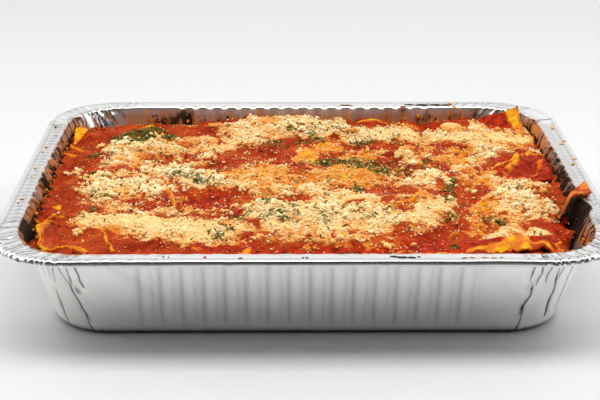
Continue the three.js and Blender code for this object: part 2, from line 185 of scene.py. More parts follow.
def hills(x, y, size, seed):
    """Soft random hills, from -1 to 1, whose tops lie about size apart."""
    table = np.random.default_rng(seed).uniform(-1, 1, (64, 64))
    u, v = np.broadcast_arrays(np.asarray(x, float) / size, np.asarray(y, float) / size)
    i, j = np.floor(u).astype(int), np.floor(v).astype(int)
    s, t = u - i, v - j
    s, t = s * s * (3 - 2 * s), t * t * (3 - 2 * t)
    near = table[i % 64, j % 64] * (1 - s) + table[(i + 1) % 64, j % 64] * s
    far = table[i % 64, (j + 1) % 64] * (1 - s) + table[(i + 1) % 64, (j + 1) % 64] * s
    return near * (1 - t) + far * t


def ramp(v, low, high):
    """0 below low, 1 above high, and a soft slope between them."""
    t = np.clip((np.asarray(v, float) - low) / (high - low), 0, 1)
    return t * t * (3 - 2 * t)


def bell(d):
    """1 in the middle of a soft bump, and less with the distance d from it."""
    return np.exp(-d * d)


def line_gap(x, y, places):
    """How far a place is from a line of places."""
    gaps = []
    for (x0, y0), (x1, y1) in zip(places, places[1:]):
        dx, dy = x1 - x0, y1 - y0
        t = np.clip(((x - x0) * dx + (y - y0) * dy) / (dx * dx + dy * dy), 0, 1)
        gaps.append(np.hypot(x - x0 - t * dx, y - y0 - t * dy))
    return np.minimum.reduce(gaps)


def stations():
    """The stations round the tray, anticlockwise from the seam: the wall of each, whether it is on the
    corner after that wall, and its place: -1 to 1 along a wall, or its angle round a corner."""
    walls, corners, places = [], [], []
    for k in range(4):
        cells = SHORT_CELLS if k % 2 else LONG_CELLS
        walls += [k] * (cells + CORNER_CELLS)
        corners += [False] * cells + [True] * CORNER_CELLS
        places += list(np.linspace(-1, 1, cells, endpoint=False))
        places += list((k - 1 + np.linspace(0, 1, CORNER_CELLS, endpoint=False)) * math.pi / 2)
    return [np.roll(a, -SEAM_STATION) for a in (walls, corners, places)]


WALL, CORNER, PLACE = stations()
WALL_NORMAL = np.array([(0, -1), (1, 0), (0, 1), (-1, 0)])[WALL]
CORNER_SIGN = np.array([(1, -1), (1, 1), (-1, 1), (-1, -1)])[WALL]
OUTWARD = np.where(CORNER[:, None], np.stack([np.cos(PLACE), np.sin(PLACE)], 1), WALL_NORMAL)
CORNER_SHARE = np.where(CORNER, PLACE / (math.pi / 2) - (WALL - 1), -9)
SHORT_SIDE = (WALL % 2) * ~CORNER


def round_tray(half, corner):
    """Each station's point on a rounded rectangle, and how far it lies from the middle of its wall."""
    straight = half - corner
    along = PLACE * straight[np.where(WALL % 2, 1, 0)]
    turned = np.stack([-WALL_NORMAL[:, 1], WALL_NORMAL[:, 0]], 1)
    wall = WALL_NORMAL * half + turned * along[:, None]
    bend = CORNER_SIGN * straight + OUTWARD * corner
    return np.where(CORNER[:, None], bend, wall), np.where(CORNER, 1e3, along)


def flutes(k, along):
    """How far wall k stands out at a distance along it, and how dark its painted shade is there: it has
    broad lobes with a narrow groove between each two, and a soft painted shade beside each groove for the
    dark it reflects."""
    half_run = FLUTE_PITCH[k] * FLUTE_COUNT[k] / 2
    place = along / FLUTE_PITCH[k] + FLUTE_COUNT[k] / 2
    gap = (place - np.round(place)) * FLUTE_PITCH[k]
    groove = -GROOVE_DEPTH[k] * bell(gap / GROOVE_WIDTH[k])
    lobe = -LOBE_DEPTH[k] * np.cos(2 * math.pi * place)
    groove_shade = 0.22 * bell((gap - 1.5) / 1.2) + 0.09 * bell((gap + 2.9) / 0.7)
    return ramp(half_run + 2 - np.abs(along), 0, 3) * np.array([groove + lobe, groove_shade])


def tray_levels():
    """The levels from the bead's tucked edge to the middle of the base. Each has its half sizes, corner
    radius and height, how strong the flutes, the folds and the rim's pleats are there, and its painted
    shade."""
    levels = []

    def rim_level(inset, z, flute, fold, rim, shade):
        levels.append((RIM[:2] - inset, RIM_CORNER - inset / 2, z, flute, fold, rim, shade))

    for inset, drop, shade in BEAD:
        rim_level(inset, TRAY_TOP - drop, 0, 0, 1, shade)
    for inset, sink in FLANGE_ROWS:
        rim_level(inset, FLANGE_TOP - sink, 0, 0, 1, 0)
    for angle in SHOULDER_ANGLES:
        turned = math.radians(angle)
        inset = FLANGE_WIDTH - SHOULDER * (1 - math.sin(turned)) + FOIL
        share = angle / 90
        z = FLANGE_TOP - SHOULDER * (1 - math.cos(turned))
        rim_level(inset, z, share**1.5, share, 1 - share, 0)
    for z in WALL_HEIGHTS:
        t = z / TRAY_TOP
        half = BASE_HALF * (1 - t) + MOUTH_HALF * t - FOIL
        corner = BASE_CORNER * (1 - t) + MOUTH_CORNER * t - FOIL
        # the lowest rows of the wall get a painted shadow at the foot
        levels.append((half, corner, z, ramp(z, 3, 12), ramp(z, 0, 4), 0, 0.5 * (1 - ramp(z, 1, 5.5))))
    for angle, shade in FOOT_ROWS:
        turned = math.radians(angle)
        inset, z = (FOOT_FILLET * (1 - way(turned)) + FOIL for way in (math.cos, math.sin))
        levels.append((BASE_HALF - inset, BASE_CORNER - inset, z, 0, 0.2, 0, shade))
    for share in BASE_SHARES:
        half, corner = (BASE_HALF - FOOT_FILLET) * share, (BASE_CORNER - FOOT_FILLET) * share
        levels.append((half, corner, FOIL, 0, 0, 0, 0))
    return levels


def corner_folds():
    """Every fold pressed into a corner wall: its corner, and its places."""
    draw = np.random.default_rng(4)
    by_corner = [FRONT_RIGHT_FOLDS, BACK_RIGHT_FOLDS, BACK_LEFT_FOLDS, FRONT_LEFT_FOLDS]
    folds = [(k, fold) for k, known in enumerate(by_corner) for fold in known]
    for k in (1, 2):
        for share in np.linspace(0.08, 0.92, DEEP_FOLDS):
            start = share + draw.uniform(-0.05, 0.05)
            bend, lean = draw.uniform(-0.03, 0.03, 2)
            foot, depth = draw.uniform(4, 18), draw.uniform(0.5, 1.3)
            places = [(start, 40, 0.6), (start + bend, 30, depth), (start + lean, foot, 0.6 * depth)]
            folds.append((k, places))
    for k in range(4):
        for share in np.linspace(0.05, 0.95, RIM_FOLDS):
            start = share + draw.uniform(-0.03, 0.03)
            folds.append((k, [(start, 56, 0.7), (start + draw.uniform(-0.02, 0.02), 50, 0.3)]))
    return folds


def rim_pleats(run):
    """The pleats in the rim: where each is on the way round, how deep, and how it leans."""
    draw = np.random.default_rng(7)
    pleats = []
    for k in range(4):
        first = run[(WALL == k) & CORNER][0]
        at, end = first + PLEATS_FROM, first + PLEATS_TO
        while at < end:
            at += draw.uniform(PLEAT_CLOSE, PLEAT_FAR)
            fade = ramp(at, first + PLEATS_FROM, first - 2) * (1 - ramp(at, end - 16, end - 2))
            fade = float(fade) * (BACK_PLEATS if k in (1, 2) else 1)
            pleats.append((at, fade * draw.uniform(0.25, 1.0), draw.uniform(-0.1, 0.5)))
        if k == 3:
            pleats += [(first + step, LATE_DEPTH, LATE_LEAN) for step in LATE_PLEATS]
    return pleats


def fold_corners(folds, z, corner, fold, out, shade):
    """Presses the folds into the corners at a level: adds their grooves to out and their painted shade to
    shade.
    """
    for k, places in folds:
        shares, heights, depths = (np.array(v)[::-1] for v in zip(*places))
        at = np.interp(z, heights, shares) + 0.008 * float(hills(z, shares[0] * 90, 3.5, 21))
        depth = np.interp(z, heights, depths) * (0.85 + 0.3 * float(hills(z, shares[0] * 70, 2.6, 22)))
        fade = ramp(z, heights[0] - 1.5, heights[0]) * (1 - ramp(z, heights[-1], heights[-1] + 2))
        depth *= float(fade)
        gap = np.where(CORNER & (WALL == k), (CORNER_SHARE - at) * corner * math.pi / 2, 99)
        swell, groove = np.exp(-((gap - 2.4) ** 2) / 3), np.exp(-np.abs(gap) / 0.7)
        out += 0.8 * depth * fold * (0.4 * swell - groove)
        shade += 1.5 * depth * fold * bell(gap / (0.28 + 0.22 * depth))
        shade += 0.1 * depth * fold * bell((gap + 1.2) / 1.3)


def pleat_rim(pleats, run, inset, rim, dark, out, lift, shade):
    """Gathers the rim in pleats at a level: adds them to out and lift, and their painted shade to shade,
    with bright breaks in the bead's painted dark band.
    """
    for at, depth, lean in pleats:
        gap = run - at - lean * (inset - 4)
        crease = depth * rim * np.exp(-np.abs(gap) / 0.8)
        lift -= 0.7 * crease
        shade += depth * rim * bell(gap / 0.36) * (inset > 0.5)
        shade += 0.15 * depth * rim * bell((gap - 1.3) / 1.0) * (inset > 0.5)
        if inset < 1.5:
            out -= 0.42 * depth * rim * bell(gap / 0.9)
            shade -= 1.2 * dark * (depth > 0.55) * bell((gap - 0.9) / 0.45)


def tray_sheet():
    """The rows of points of the foil sheet, how dark each point is with painted shade, in folds, pleats and
    grooves, at the foot and on the rim and bead, and how far round the tray it lies."""
    run = np.cumsum(np.where(CORNER, CORNER_STEP, np.where(WALL % 2, SHORT_STEP, LONG_STEP)))
    folds, pleats = corner_folds(), rim_pleats(run)
    rows, shades = [], []
    # fold, flute and rim say how strong each kind of relief is at the level
    for half, corner, z, flute, fold, rim, dark in tray_levels():
        points, along = round_tray(half, corner)
        fluted, groove_shade = sum(np.where((WALL == k) & ~CORNER, flutes(k, along), 0) for k in range(4))
        out, lift = fluted * flute, np.zeros(len(run))
        # painted shade: the level's own, uneven round the corners, and beside the flutes' grooves
        uneven = np.where(CORNER, 1.15 + 0.35 * hills(run, 0, 2.0, 20), 1 + 0.1 * hills(run, 0, 3, 20))
        shade = dark * uneven
        shade += flute * groove_shade * (1.25 - 0.6 * float(ramp(z, 34, 52)))
        if fold:
            fold_corners(folds, z, corner, fold, out, shade)
            # soft streaks of painted shade near the corners
            beside = CORNER | (np.abs(np.clip(PLACE, -1, 1)) > 0.72)
            shade += 0.07 * fold * beside * ramp(hills(run + 1.1 * z, z * 0.2, 9, 33), 0.0, 0.9)
            soft = ramp(z, 0, 20) * np.where(CORNER, 0.45, 0.12)
            out += soft * fold * hills(run + z * 0.5, z * 0.25, 9, 31)
        if rim:
            inset = RIM[0] - half[0]
            pleat_rim(pleats, run, inset, rim, dark, out, lift, shade)
            lift += rim * 0.22 * hills(run, inset, 7, 41) * np.where(CORNER, 1, 0.4)
            fall = FRONT_SINK * float(ramp(inset, 3.2, 5)) + FRONT_DIP * float(ramp(inset, 4, 12))
            lift -= rim * fall * ramp(-points[:, 1], 92, 114)
            # faint bands of painted shade across the rim
            shade += 0.05 * rim * ramp(hills(run + 0.4 * inset, 0, 6, 42), 0, 0.8) * (inset > 2)
            # on the short sides the flange and the bead get painted shade that dims what they reflect,
            # changing along the ridges
            if inset > 3.5:
                ridge = SHORT_SIDE * ramp(MOUTH_HALF[1] - MOUTH_CORNER - np.abs(along), -2, 4)
                wave = 2 * math.pi * along / RIDGE_PITCH
                lift -= 0.3 * ridge * np.cos(wave) * (6 < inset < 11)
                shade += ridge * (0.2 + 0.08 * np.cos(wave + 1) + 0.2 * (inset < 5))
            else:
                shade += SHORT_SIDE * (0.34 if inset < 1.2 else 0.14)
        dented = bell((points[:, 1] - DENT_Y) / DENT_HALF) * (points[:, 0] > 0)
        dented = dented * ramp(z, 30, 54) * ramp(RIM[0] - 3.6 - points[:, 0], 0, 6)
        bulge = SIDE_BULGE * SHORT_SIDE * (1 - np.clip(PLACE, -1, 1) ** 2) * ramp(z, 6, 40)
        bulge *= ramp(RIM[0] - np.abs(points[:, 0]), 4, 12)
        moved = points + OUTWARD * (out + bulge + DENT_OUT * dented)[:, None]
        level = np.minimum(z + lift - DENT_SAG * dented, TRAY_TOP)
        rows.append(np.column_stack([np.clip(moved, -RIM[:2], RIM[:2]), level]))
        shades.append(np.clip(shade, 0, 1))
    return np.array(rows), np.array(shades), np.tile(run, (len(rows), 1))


def lay_grid(name, rows, values, closed_round=False):
    """A grid primitive with its corners moved to the rows of points, and the values kept on its corners."""
    if closed_round:
        rows = np.concatenate([rows, rows[:, :1]], 1)
        values = {key: np.concatenate([v, v[:, :1]], 1) for key, v in values.items()}
    bpy.ops.object.select_all(action="DESELECT")
    cells = {"x_subdivisions": rows.shape[1] - 1, "y_subdivisions": rows.shape[0] - 1}
    bpy.ops.mesh.primitive_grid_add(size=1, **cells)
    piece = bpy.context.object
    piece.name = piece.data.name = name
    piece.data.vertices.foreach_set("co", (rows.reshape(-1, 3) * MM).ravel())
    for key, value in values.items():
        piece.data.attributes.new(key, "FLOAT", "POINT").data.foreach_set("value", value.ravel())
    piece.data.update()
    return piece


def edit(step, **settings):
    """Takes a step in edit mode on the whole of the active object."""
    bpy.ops.object.mode_set(mode="EDIT")
    bpy.ops.mesh.select_all(action="SELECT")
    step(**settings)
    bpy.ops.object.mode_set(mode="OBJECT")


def press(kind, **settings):
    """Adds a modifier to the active object and applies it."""
    piece = bpy.context.object
    modifier = piece.modifiers.new(kind.lower(), kind)
    for key, value in settings.items():
        setattr(modifier, key, value)
    bpy.ops.object.modifier_apply(modifier=modifier.name)


rows, shades, run = tray_sheet()
x, y, height = rows[:, :, 0], rows[:, :, 1], rows[:, :, 2]
# the crease at the back right corner is only a line of painted shade
crease = bell(line_gap(x, y, CORNER_CREASE) / CREASE_WIDTH) * (height > CREASE_FOOT)
shades = np.maximum(shades, crease)

# inside, the walls have a film of sauce: all over at the back and the sides, and ragged elsewhere
inside = np.arange(len(rows))[:, None] > len(BEAD) + 6
on_back = ramp(y, 96, 108) * (1 - ramp(np.abs(x), 112, 126))
on_side = ramp(np.abs(x), 118, 132) * (1 - ramp(y, 92, 112))
film = inside * ramp(height, 30, 40) * (1 - ramp(height - 0.9 * on_side, 51.8, 53.4))
ragged = hills(run, height * 0.7, 5, 52) + 0.4 * hills(run, height, 1.7, 53)
drips = hills(run * 1.6, height * 0.25, 2.6, 54)
stain = film * np.clip(on_back * (0.92 + 0.12 * ragged) + on_side * (1.15 + 0.15 * ragged), 0, 1)
elsewhere = 0.9 * film * (1 - on_back - on_side)
stain = np.maximum(stain, elsewhere * ramp(ragged - 0.06 * (height - 48), -0.35, 0.15))

# the film burned along the side walls, most in the front half of the right one, and in spots at the back.
# The same near-black is painted shade in the hollow at the right wall's front end and under the pasta's lip
# at the left front
charred_and_shaded = 0.1 + 0.64 * (1 - ramp(y, 26, 48)) + 0.7 * (1 - ramp(y, -46, -34)) + 0.3 * drips + 0.35 * ragged
burn_and_shade = ramp(x, 118, 130) * charred_and_shaded
low_wall = ramp(-height, -50, -46)
burn_and_shade -= ramp(x, 100, 118) * (1 - ramp(y, -74, -61)) * (0.85 - 0.9 * drips + 0.5 * low_wall)
# the bump at the left front is painted shade under the pasta's lip
burn_and_shade += ramp(-x, 118, 130) * (0.4 + 0.45 * drips + 0.9 * bell((y + 80) / 10))
# darker low down on the side walls, just above the food
burn_and_shade += 0.5 * on_side * ramp(-height, -48.5, -46.5)
burn_and_shade += 0.06 * on_back * low_wall + 0.7 * bell((x - 117) / 7) * ramp(y, 90, 105)
for at, level, size, depth in WALL_BURNS:
    spot = bell(np.hypot(x - at, height - level) / size)
    burn_and_shade += depth * on_back * spot * (1 + 0.9 * ragged)
burn_and_shade = np.clip(burn_and_shade + 0.22 * ragged, 0, 1.4)

# orange grease ran down it on the left and at the back right
grease = ramp(x, 108, 124) * ramp(y, 52, 66) + 0.3 * on_back * ramp(np.abs(x), 60, 100)
grease += ramp(-x, 118, 130) * (0.45 + 0.5 * drips + 0.6 * ramp(-height, -50.5, -47.5))
grease += (1 - ramp(y, -94, -76)) * 0.6
grease = np.clip(grease, 0, 1)

skins = {"shade": shades, "run": run * MM, "stain": stain, "burn_and_shade": burn_and_shade, "grease": grease}
SHEET_WELD = 0.00002
tray = lay_grid("foil_tray_shell", rows, skins, closed_round=True)
edit(bpy.ops.mesh.remove_doubles, threshold=SHEET_WELD)


def nodes_in(tree):
    """A maker of a tree's nodes: a value that is a socket is linked, and any other is set."""

    def node(kind, values=None, **settings):
        made = tree.nodes.new("ShaderNode" + kind) if isinstance(kind, str) else kind
        for key, value in settings.items():
            setattr(made, key, value)
        for socket, value in (values or {}).items():
            if isinstance(value, bpy.types.NodeSocket):
                tree.links.new(value, made.inputs[socket])
            else:
                made.inputs[socket].default_value = value
        return made

    return node


def paint(name):
    """A new material, its Principled shader, and the maker of its nodes."""
    made = bpy.data.materials.new(name)
    made.use_nodes = True
    return made, made.node_tree.nodes["Principled BSDF"], nodes_in(made.node_tree)


def kept(node, key):
    """What the mesh keeps under a key."""
    return node("Attribute", attribute_name=key).outputs["Fac"]


def noise(node, place, scale, detail, rough=0.5):
    values = {"Vector": place, "Scale": scale, "Detail": detail, "Roughness": rough}
    return node("TexNoise", values).outputs["Fac"]


def streaks(node, way, scale, detail):
    """Noise that changes only along the way round."""
    values = {"W": way, "Scale": scale, "Detail": detail}
    return node("TexNoise", values, noise_dimensions="1D").outputs["Fac"]


def spread(node, value, low=0.0, high=1.0, least=0.0, most=1.0):
    """A value that goes from low to high, spread from least to most."""
    values = {"Value": value, "From Min": low, "From Max": high, "To Min": least, "To Max": most}
    return node("MapRange", values).outputs[0]


def blend(node, share, below, above):
    """A share of the colour above over the one below."""
    return node("MixRGB", {0: share, 1: below, 2: above}).outputs[0]


def added(node, a, b, share=1.0):
    """a and a share of b."""
    return node("Math", {0: b, 1: share, 2: a}, operation="MULTIPLY_ADD").outputs[0]


def times(node, a, b):
    return node("Math", {0: a, 1: b}, operation="MULTIPLY").outputs[0]


def bumped(node, height, strength, distance):
    return node("Bump", {"Height": height, "Strength": strength, "Distance": distance}).outputs[0]


# the last colour on the next line is painted shade: the dark in the folds, pleats and crease, beside the
# flutes and at the foot, and the dim room reflected in the bead's front
BRIGHT_FOIL, DULL_FOIL, PAINTED_SHADE_COLOUR = (0.94, 0.94, 0.92, 1), (0.93, 0.93, 0.92, 1), (0.04, 0.037, 0.033, 1)
FILM_COLOUR, LOW_FILM, GREASE_COLOUR = (0.34, 0.19, 0.15, 1), (0.5, 0.19, 0.08, 1), (0.6, 0.19, 0.02, 1)
# the burnt film's near-black, which is also the colour of the painted shade in the hollows at the right and
# left front
BURNT_AND_SHADE_COLOUR = (0.034, 0.019, 0.013, 1)
# how rough the bright and the greased foil are, from their smoothest smudge to their dullest, and the burnt
# film with its painted shade
BRIGHT_ROUGH, GREASED_ROUGH, BURNT_AND_SHADE_ROUGH = (0.38, 0.48), (0.2, 0.32), 0.7
# between these heights the film turns from brown to orange, in metres
FILM_TOP, FILM_FOOT = 0.051, 0.046


def foil_finish(name, greased):
    """Rolled foil: smudges change its shine, and painted shade darkens its folds, pleats, crease, foot and
    grooves and stands for the dark room reflected in its bead. Inside it has a film of sauce, burnt
    near-black in places, and the same near-black is painted shade in the hollows at the right and at the
    left front.
    """
    made, shader, node = paint(name)
    place = node("TexCoord").outputs["Object"]
    way = kept(node, "run")
    relief = added(node, streaks(node, way, 420.0, 1.0), noise(node, place, 130.0, 2.0))
    colour = blend(node, kept(node, "shade"), DULL_FOIL if greased else BRIGHT_FOIL, PAINTED_SHADE_COLOUR)
    least, most = GREASED_ROUGH if greased else BRIGHT_ROUGH
    rough = spread(node, noise(node, place, 38.0, 3.0), least=least, most=most)
    metal, sheen = 1.0, 0.5
    if greased:
        stain = kept(node, "stain")
        low = spread(node, node("SeparateXYZ", {0: place}).outputs["Z"], FILM_TOP, FILM_FOOT)
        mixed = added(node, noise(node, place, 190.0, 3.0), streaks(node, way, 300.0, 2.0))
        orange = added(node, added(node, mixed, low, 0.12), kept(node, "grease"), 0.2)
        film = blend(node, low, FILM_COLOUR, LOW_FILM)
        film = blend(node, spread(node, orange, 1.06, 1.25), film, GREASE_COLOUR)
        # burnt film, and painted shade in the hollows
        burnt = times(node, spread(node, added(node, kept(node, "burn_and_shade"), mixed, 0.9), 1.15, 1.65), stain)
        colour = blend(node, stain, colour, film)
        colour = blend(node, burnt, colour, BURNT_AND_SHADE_COLOUR)
        metal = spread(node, burnt, least=spread(node, stain, least=1.0, most=0.12), most=0.0)
        sheen = spread(node, stain, least=0.5, most=0.03)
        rough = spread(node, burnt, least=rough, most=BURNT_AND_SHADE_ROUGH)
    node(shader, {"Base Color": colour, "Metallic": metal, "Roughness": rough, "Specular IOR Level": sheen})
    node(shader, {"Normal": bumped(node, relief, 0.12, 0.0004)})
    return made


tray.data.materials.append(foil_finish("greased_foil", True))
tray.data.materials.append(foil_finish("bright_foil", False))
press("SOLIDIFY", thickness=FOIL * MM, offset=-1, material_offset=1)
bpy.ops.object.shade_smooth()
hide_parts("foil_tray")
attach(tray, "root")

# ---- the lasagne ----
# Layers of pasta and meat sauce baked in the tray, one soft block that fills it to just under the rim. Its
# top is bare sauce in the hollows, grated hard cheese over the swells, and melted cheese between them. Each
# patch has its middle, its two half sizes, how full or high it is, and its turn in degrees if it has one.
FILL_LEVEL, BODY_FOOT, CELL, BLOCK_WELD = 45.6, 1.1, 0.9, 0.00001
# where the top swells and sinks
SWELLS = [
    (-18, 98, 52, 20, 2.4), (-26, 117, 36, 12, 2.4), (-92, 110, 36, 14, -2.2), (-103, 84, 17, 11, 2.4),
    (80, 102, 8, 15, -4.2), (60, 78, 60, 14, 1.6), (-95, 50, 34, 10, 1.5, -8), (-72, 8, 30, 12, 1.8, 12),
    (-57, -26, 13, 11, -5.4), (-44, -48, 9, 9, -1.8), (-20, 44, 16, 9, -1.6), (-2, 12, 38, 20, 1.4),
    (26, 46, 17, 6, -2.2), (-82, -76, 42, 16, 2.1, -8), (18, -60, 46, 20, 2.0), (0, -100, 60, 8, -2.2),
    (66, -88, 20, 11, -2.0), (93, -24, 7, 22, -3.2, -8), (84, 20, 8, 7, -1.5), (122, -36, 18, 18, 1.8),
    (142, -76, 11, 20, -6), (-142, -68, 6, 9, -9),
]
# where the grated cheese lies
GRATED = [
    (-110, -60, 15, 8, 1.0, -8), (-95, -64, 20, 10, 1.0, -12), (-78, -71, 20, 11, 1.0, -12),
    (-58, -77, 18, 10, 1.0, -8), (-44, -74, 10, 12, 0.75), (-66, -88, 22, 5, 0.7, -4),
    (-62, -63, 12, 6, 0.7), (-14, -54, 16, 12, 0.9), (14, -58, 20, 11, 1.0), (40, -60, 18, 10, 1.0),
    (63, -56, 13, 8, 0.85), (70, -42, 9, 9, 0.9), (0, -72, 26, 7, 0.8), (30, -74, 16, 6, 0.7),
    (6, -83, 34, 5, 0.5), (-20, -40, 12, 8, 0.7), (8, -41, 16, 7, 0.8), (33, -44, 12, 6, 0.75),
    (60, -30, 8, 5, 0.45), (78, -32, 5, 8, 0.7), (12, -20, 16, 6, 1.0, -8), (30, -27, 13, 6, 1.0, -20),
    (16, -32, 14, 5, 0.8), (-84, 20, 13, 8, 1.0, -20), (-72, 10, 16, 8, 1.0, -25),
    (-58, 0, 14, 7, 0.95, -30), (-48, -5, 8, 6, 0.7, -20), (-106, -4, 13, 6, 0.85, -8),
    (-117, -12, 9, 7, 0.8), (-113, -26, 9, 9, 0.5), (-90, -8, 14, 7, 0.65), (-94, -22, 15, 6, 0.42),
    (-104, -38, 12, 5, 0.35), (-80, -47, 26, 5, 0.45), (-118, 6, 6, 6, 0.6), (-101, 10, 11, 7, 0.5),
    (-108, 65, 12, 7, 0.95), (-92, 60, 14, 7, 0.85), (-112, 50, 8, 8, 0.75), (-111, 38, 7, 8, 0.7),
    (-97, 47, 10, 5, 0.45), (-76, 57, 14, 7, 0.6), (-59, 46, 4, 8, 0.7), (-56, 62, 14, 8, 0.75),
    (-80, 42, 12, 4, 0.35), (-70, 76, 16, 5, 0.6), (-95, 30, 12, 6, 0.45), (-70, 31, 12, 4, 0.45),
    (-42, 92, 10, 12, 0.85), (-38, 74, 14, 8, 0.8), (-36, 64, 8, 5, 0.5), (-20, 88, 14, 10, 0.8),
    (-28, 106, 9, 7, 0.6), (-8, 104, 10, 12, 0.85), (6, 98, 14, 14, 0.9), (8, 82, 16, 7, 0.7),
    (5, 114, 8, 6, 0.9), (23, 110, 5, 7, 0.75), (28, 92, 12, 7, 0.9), (48, 88, 16, 8, 1.0),
    (42, 74, 16, 7, 0.9), (62, 78, 14, 9, 0.9), (65, 100, 6, 6, 0.7), (78, 72, 14, 6, 0.65),
    (100, 80, 16, 8, 0.95), (108, 70, 14, 6, 0.9), (114, 97, 7, 10, 0.8), (128, 78, 14, 8, 0.9),
    (138, 90, 6, 7, 0.65), (112, 54, 7, 8, 0.9), (105, 40, 6, 9, 0.7), (96, 26, 8, 5, 0.6),
    (124, 58, 9, 6, 0.6), (142, 48, 4, 6, 0.7), (65, 42, 5, 10, 0.65), (34, 55, 8, 4, 0.35),
    (72, 12, 9, 7, 1.0), (66, 2, 11, 5, 0.8), (47, 5, 10, 5, 0.4), (68, -10, 8, 5, 0.4),
    (20, 4, 16, 6, 0.35), (10, -7, 10, 5, 0.5), (110, 8, 7, 9, 0.75), (116, -8, 9, 7, 0.85),
    (132, -4, 9, 4, 0.75, 14), (114, -22, 9, 8, 0.85), (124, -32, 10, 8, 0.95), (130, -42, 9, 7, 0.8),
    (110, -42, 9, 6, 0.7), (118, -54, 14, 6, 0.5), (108, -66, 9, 5, 0.45), (106, -76, 8, 4, 0.95),
    (121, -77, 8, 4, 0.95), (96, -84, 4, 6, 0.6), (78, -56, 6, 6, 0.35), (-24, 10, 16, 16, 0.4),
    (-32, -10, 6, 7, 0.55), (-10, -14, 9, 8, 0.55), (-22, -24, 9, 6, 0.45), (50, -72, 14, 4, 0.3),
    (-118, 26, 9, 9, 0.3), (20, 0, 110, 80, 0.1),
]
# where its coarse lumps lie
COARSE = [
    (-108, 66, 14, 8, 1.0), (-96, 76, 8, 5, 0.8), (-113, 48, 9, 12, 0.7), (-84, 22, 12, 7, 1.0),
    (-64, 8, 20, 9, 0.9, -25), (-118, -4, 10, 12, 0.9), (-98, -12, 20, 10, 0.8), (-125, -14, 4, 5, 1.0),
    (-134, 20, 4, 10, 0.5), (-30, -12, 9, 8, 0.8), (-8, -16, 12, 6, 0.5), (8, -44, 40, 12, 0.25),
    (-28, -46, 5, 5, 0.6), (-42, -38, 5, 6, 0.5), (30, -90, 24, 3, 0.3), (64, 40, 8, 14, 0.5),
    (72, 8, 14, 9, 0.5), (-20, 100, 30, 14, 0.35), (60, 86, 60, 12, 0.2), (112, 54, 8, 9, 0.6),
    (94, -8, 3, 4, 0.6), (122, -30, 14, 20, 0.3), (-120, -78, 3, 3, 0.8), (36, 47, 10, 5, 0.5),
]
# where cheese melted into the sauce
MELTED = [
    (-26, 10, 16, 17, 0.95), (-22, -18, 9, 8, 0.85), (-10, 0, 10, 10, 0.9), (16, 4, 18, 9, 1.0),
    (32, 16, 24, 9, 0.9), (40, 0, 14, 6, 0.7), (13, 62, 7, 9, 1.0), (34, 44, 11, 7, 0.9),
    (2, 46, 6, 16, 1.0), (91, 42, 9, 10, 1.0), (99, 56, 8, 4, 0.6), (72, 60, 10, 6, 0.6),
    (74, 40, 6, 12, 0.4), (60, -24, 10, 6, 0.85), (52, -40, 10, 5, 0.5), (-72, 77, 17, 5, 1.0),
    (-88, 66, 12, 5, 0.6), (-104, 38, 9, 9, 0.5), (-24, 110, 6, 8, 1.0), (-74, 106, 8, 4, 0.5),
    (-56, 100, 6, 6, 0.5), (97, 8, 6, 10, 0.85), (113, 12, 7, 9, 1.0), (116, 2, 10, 6, 0.8),
    (124, 104, 8, 10, 0.8), (140, 100, 5, 10, 0.9), (118, 72, 30, 5, 0.5), (96, 94, 8, 4, 0.8),
    (98, -38, 6, 9, 1.0, -20), (92, -62, 6, 12, 0.8, -10), (84, -76, 8, 5, 0.4), (114, -56, 16, 7, 0.45),
    (-112, -66, 12, 7, 0.75, -10), (-100, -74, 14, 4, 0.7, -14), (-74, -65, 6, 3, 0.8),
    (-44, -90, 20, 4, 0.3), (-95, -24, 26, 10, 0.3), (-30, -36, 7, 7, 0.4), (8, -92, 40, 4, 0.25),
    (138, 66, 6, 8, 0.5), (-102, 46, 6, 4, 0.6), (66, 104, 6, 8, 0.7),
]
# where a pasta sheet shows
BARE_PASTA = [
    (24, 8, 6, 6, 0.9), (32, 17, 4, 4, 0.7), (2, 50, 4, 11, 0.9, 8), (5, 34, 3, 7, 0.8, 8),
    (14, 66, 4, 6, 0.7), (38, 44, 3, 6, 0.7), (28, 45, 4, 4, 0.5), (92, 46, 4, 6, 0.6),
    (113, 14, 3, 4, 0.7), (-101, 103, 4, 4, 1.0), (-79, 108, 3, 3, 0.9), (-135, -37, 1.8, 2.4, 0.8),
    (47, -100, 3, 4, 0.9), (-29, -99, 1.6, 5, 0.9, -16), (94, -86, 3, 6, 0.5, -20),
    (98, -36, 3, 7, 0.7, -20), (60, -24, 5, 3, 0.4), (122, 106, 4, 7, 0.7),
]
# where the sauce is wet and red
WET = [
    (-57, -27, 12, 11, 1.0), (-42, -44, 9, 9, 0.9), (-35, -98, 16, 7, 1.0), (10, -98, 34, 6, 1.0),
    (62, -92, 16, 9, 0.9), (50, -84, 6, 8, 0.6), (60, -99, 8, 5, 1.0), (82, -98, 10, 4, 0.8),
    (-6, 34, 6, 4, 0.6), (94, -34, 5, 14, 0.9, -12), (104, -24, 4, 5, 0.9), (88, 14, 6, 5, 0.5),
    (130, 24, 15, 17, 0.85), (81, 100, 7, 16, 0.9), (-18, 30, 9, 5, 0.5), (-46, -34, 8, 7, 1.0),
    (131, 112, 6, 8, 0.7), (16, 44, 5, 7, 0.8), (47, -16, 5, 5, 0.7), (50, 40, 3, 4, 0.8),
    (136, -66, 6, 22, 0.9), (124, -88, 4, 8, 0.8), (-24, 42, 12, 8, 0.35), (-88, 44, 6, 6, 0.4),
    (53, -46, 4, 3, 0.8),
]
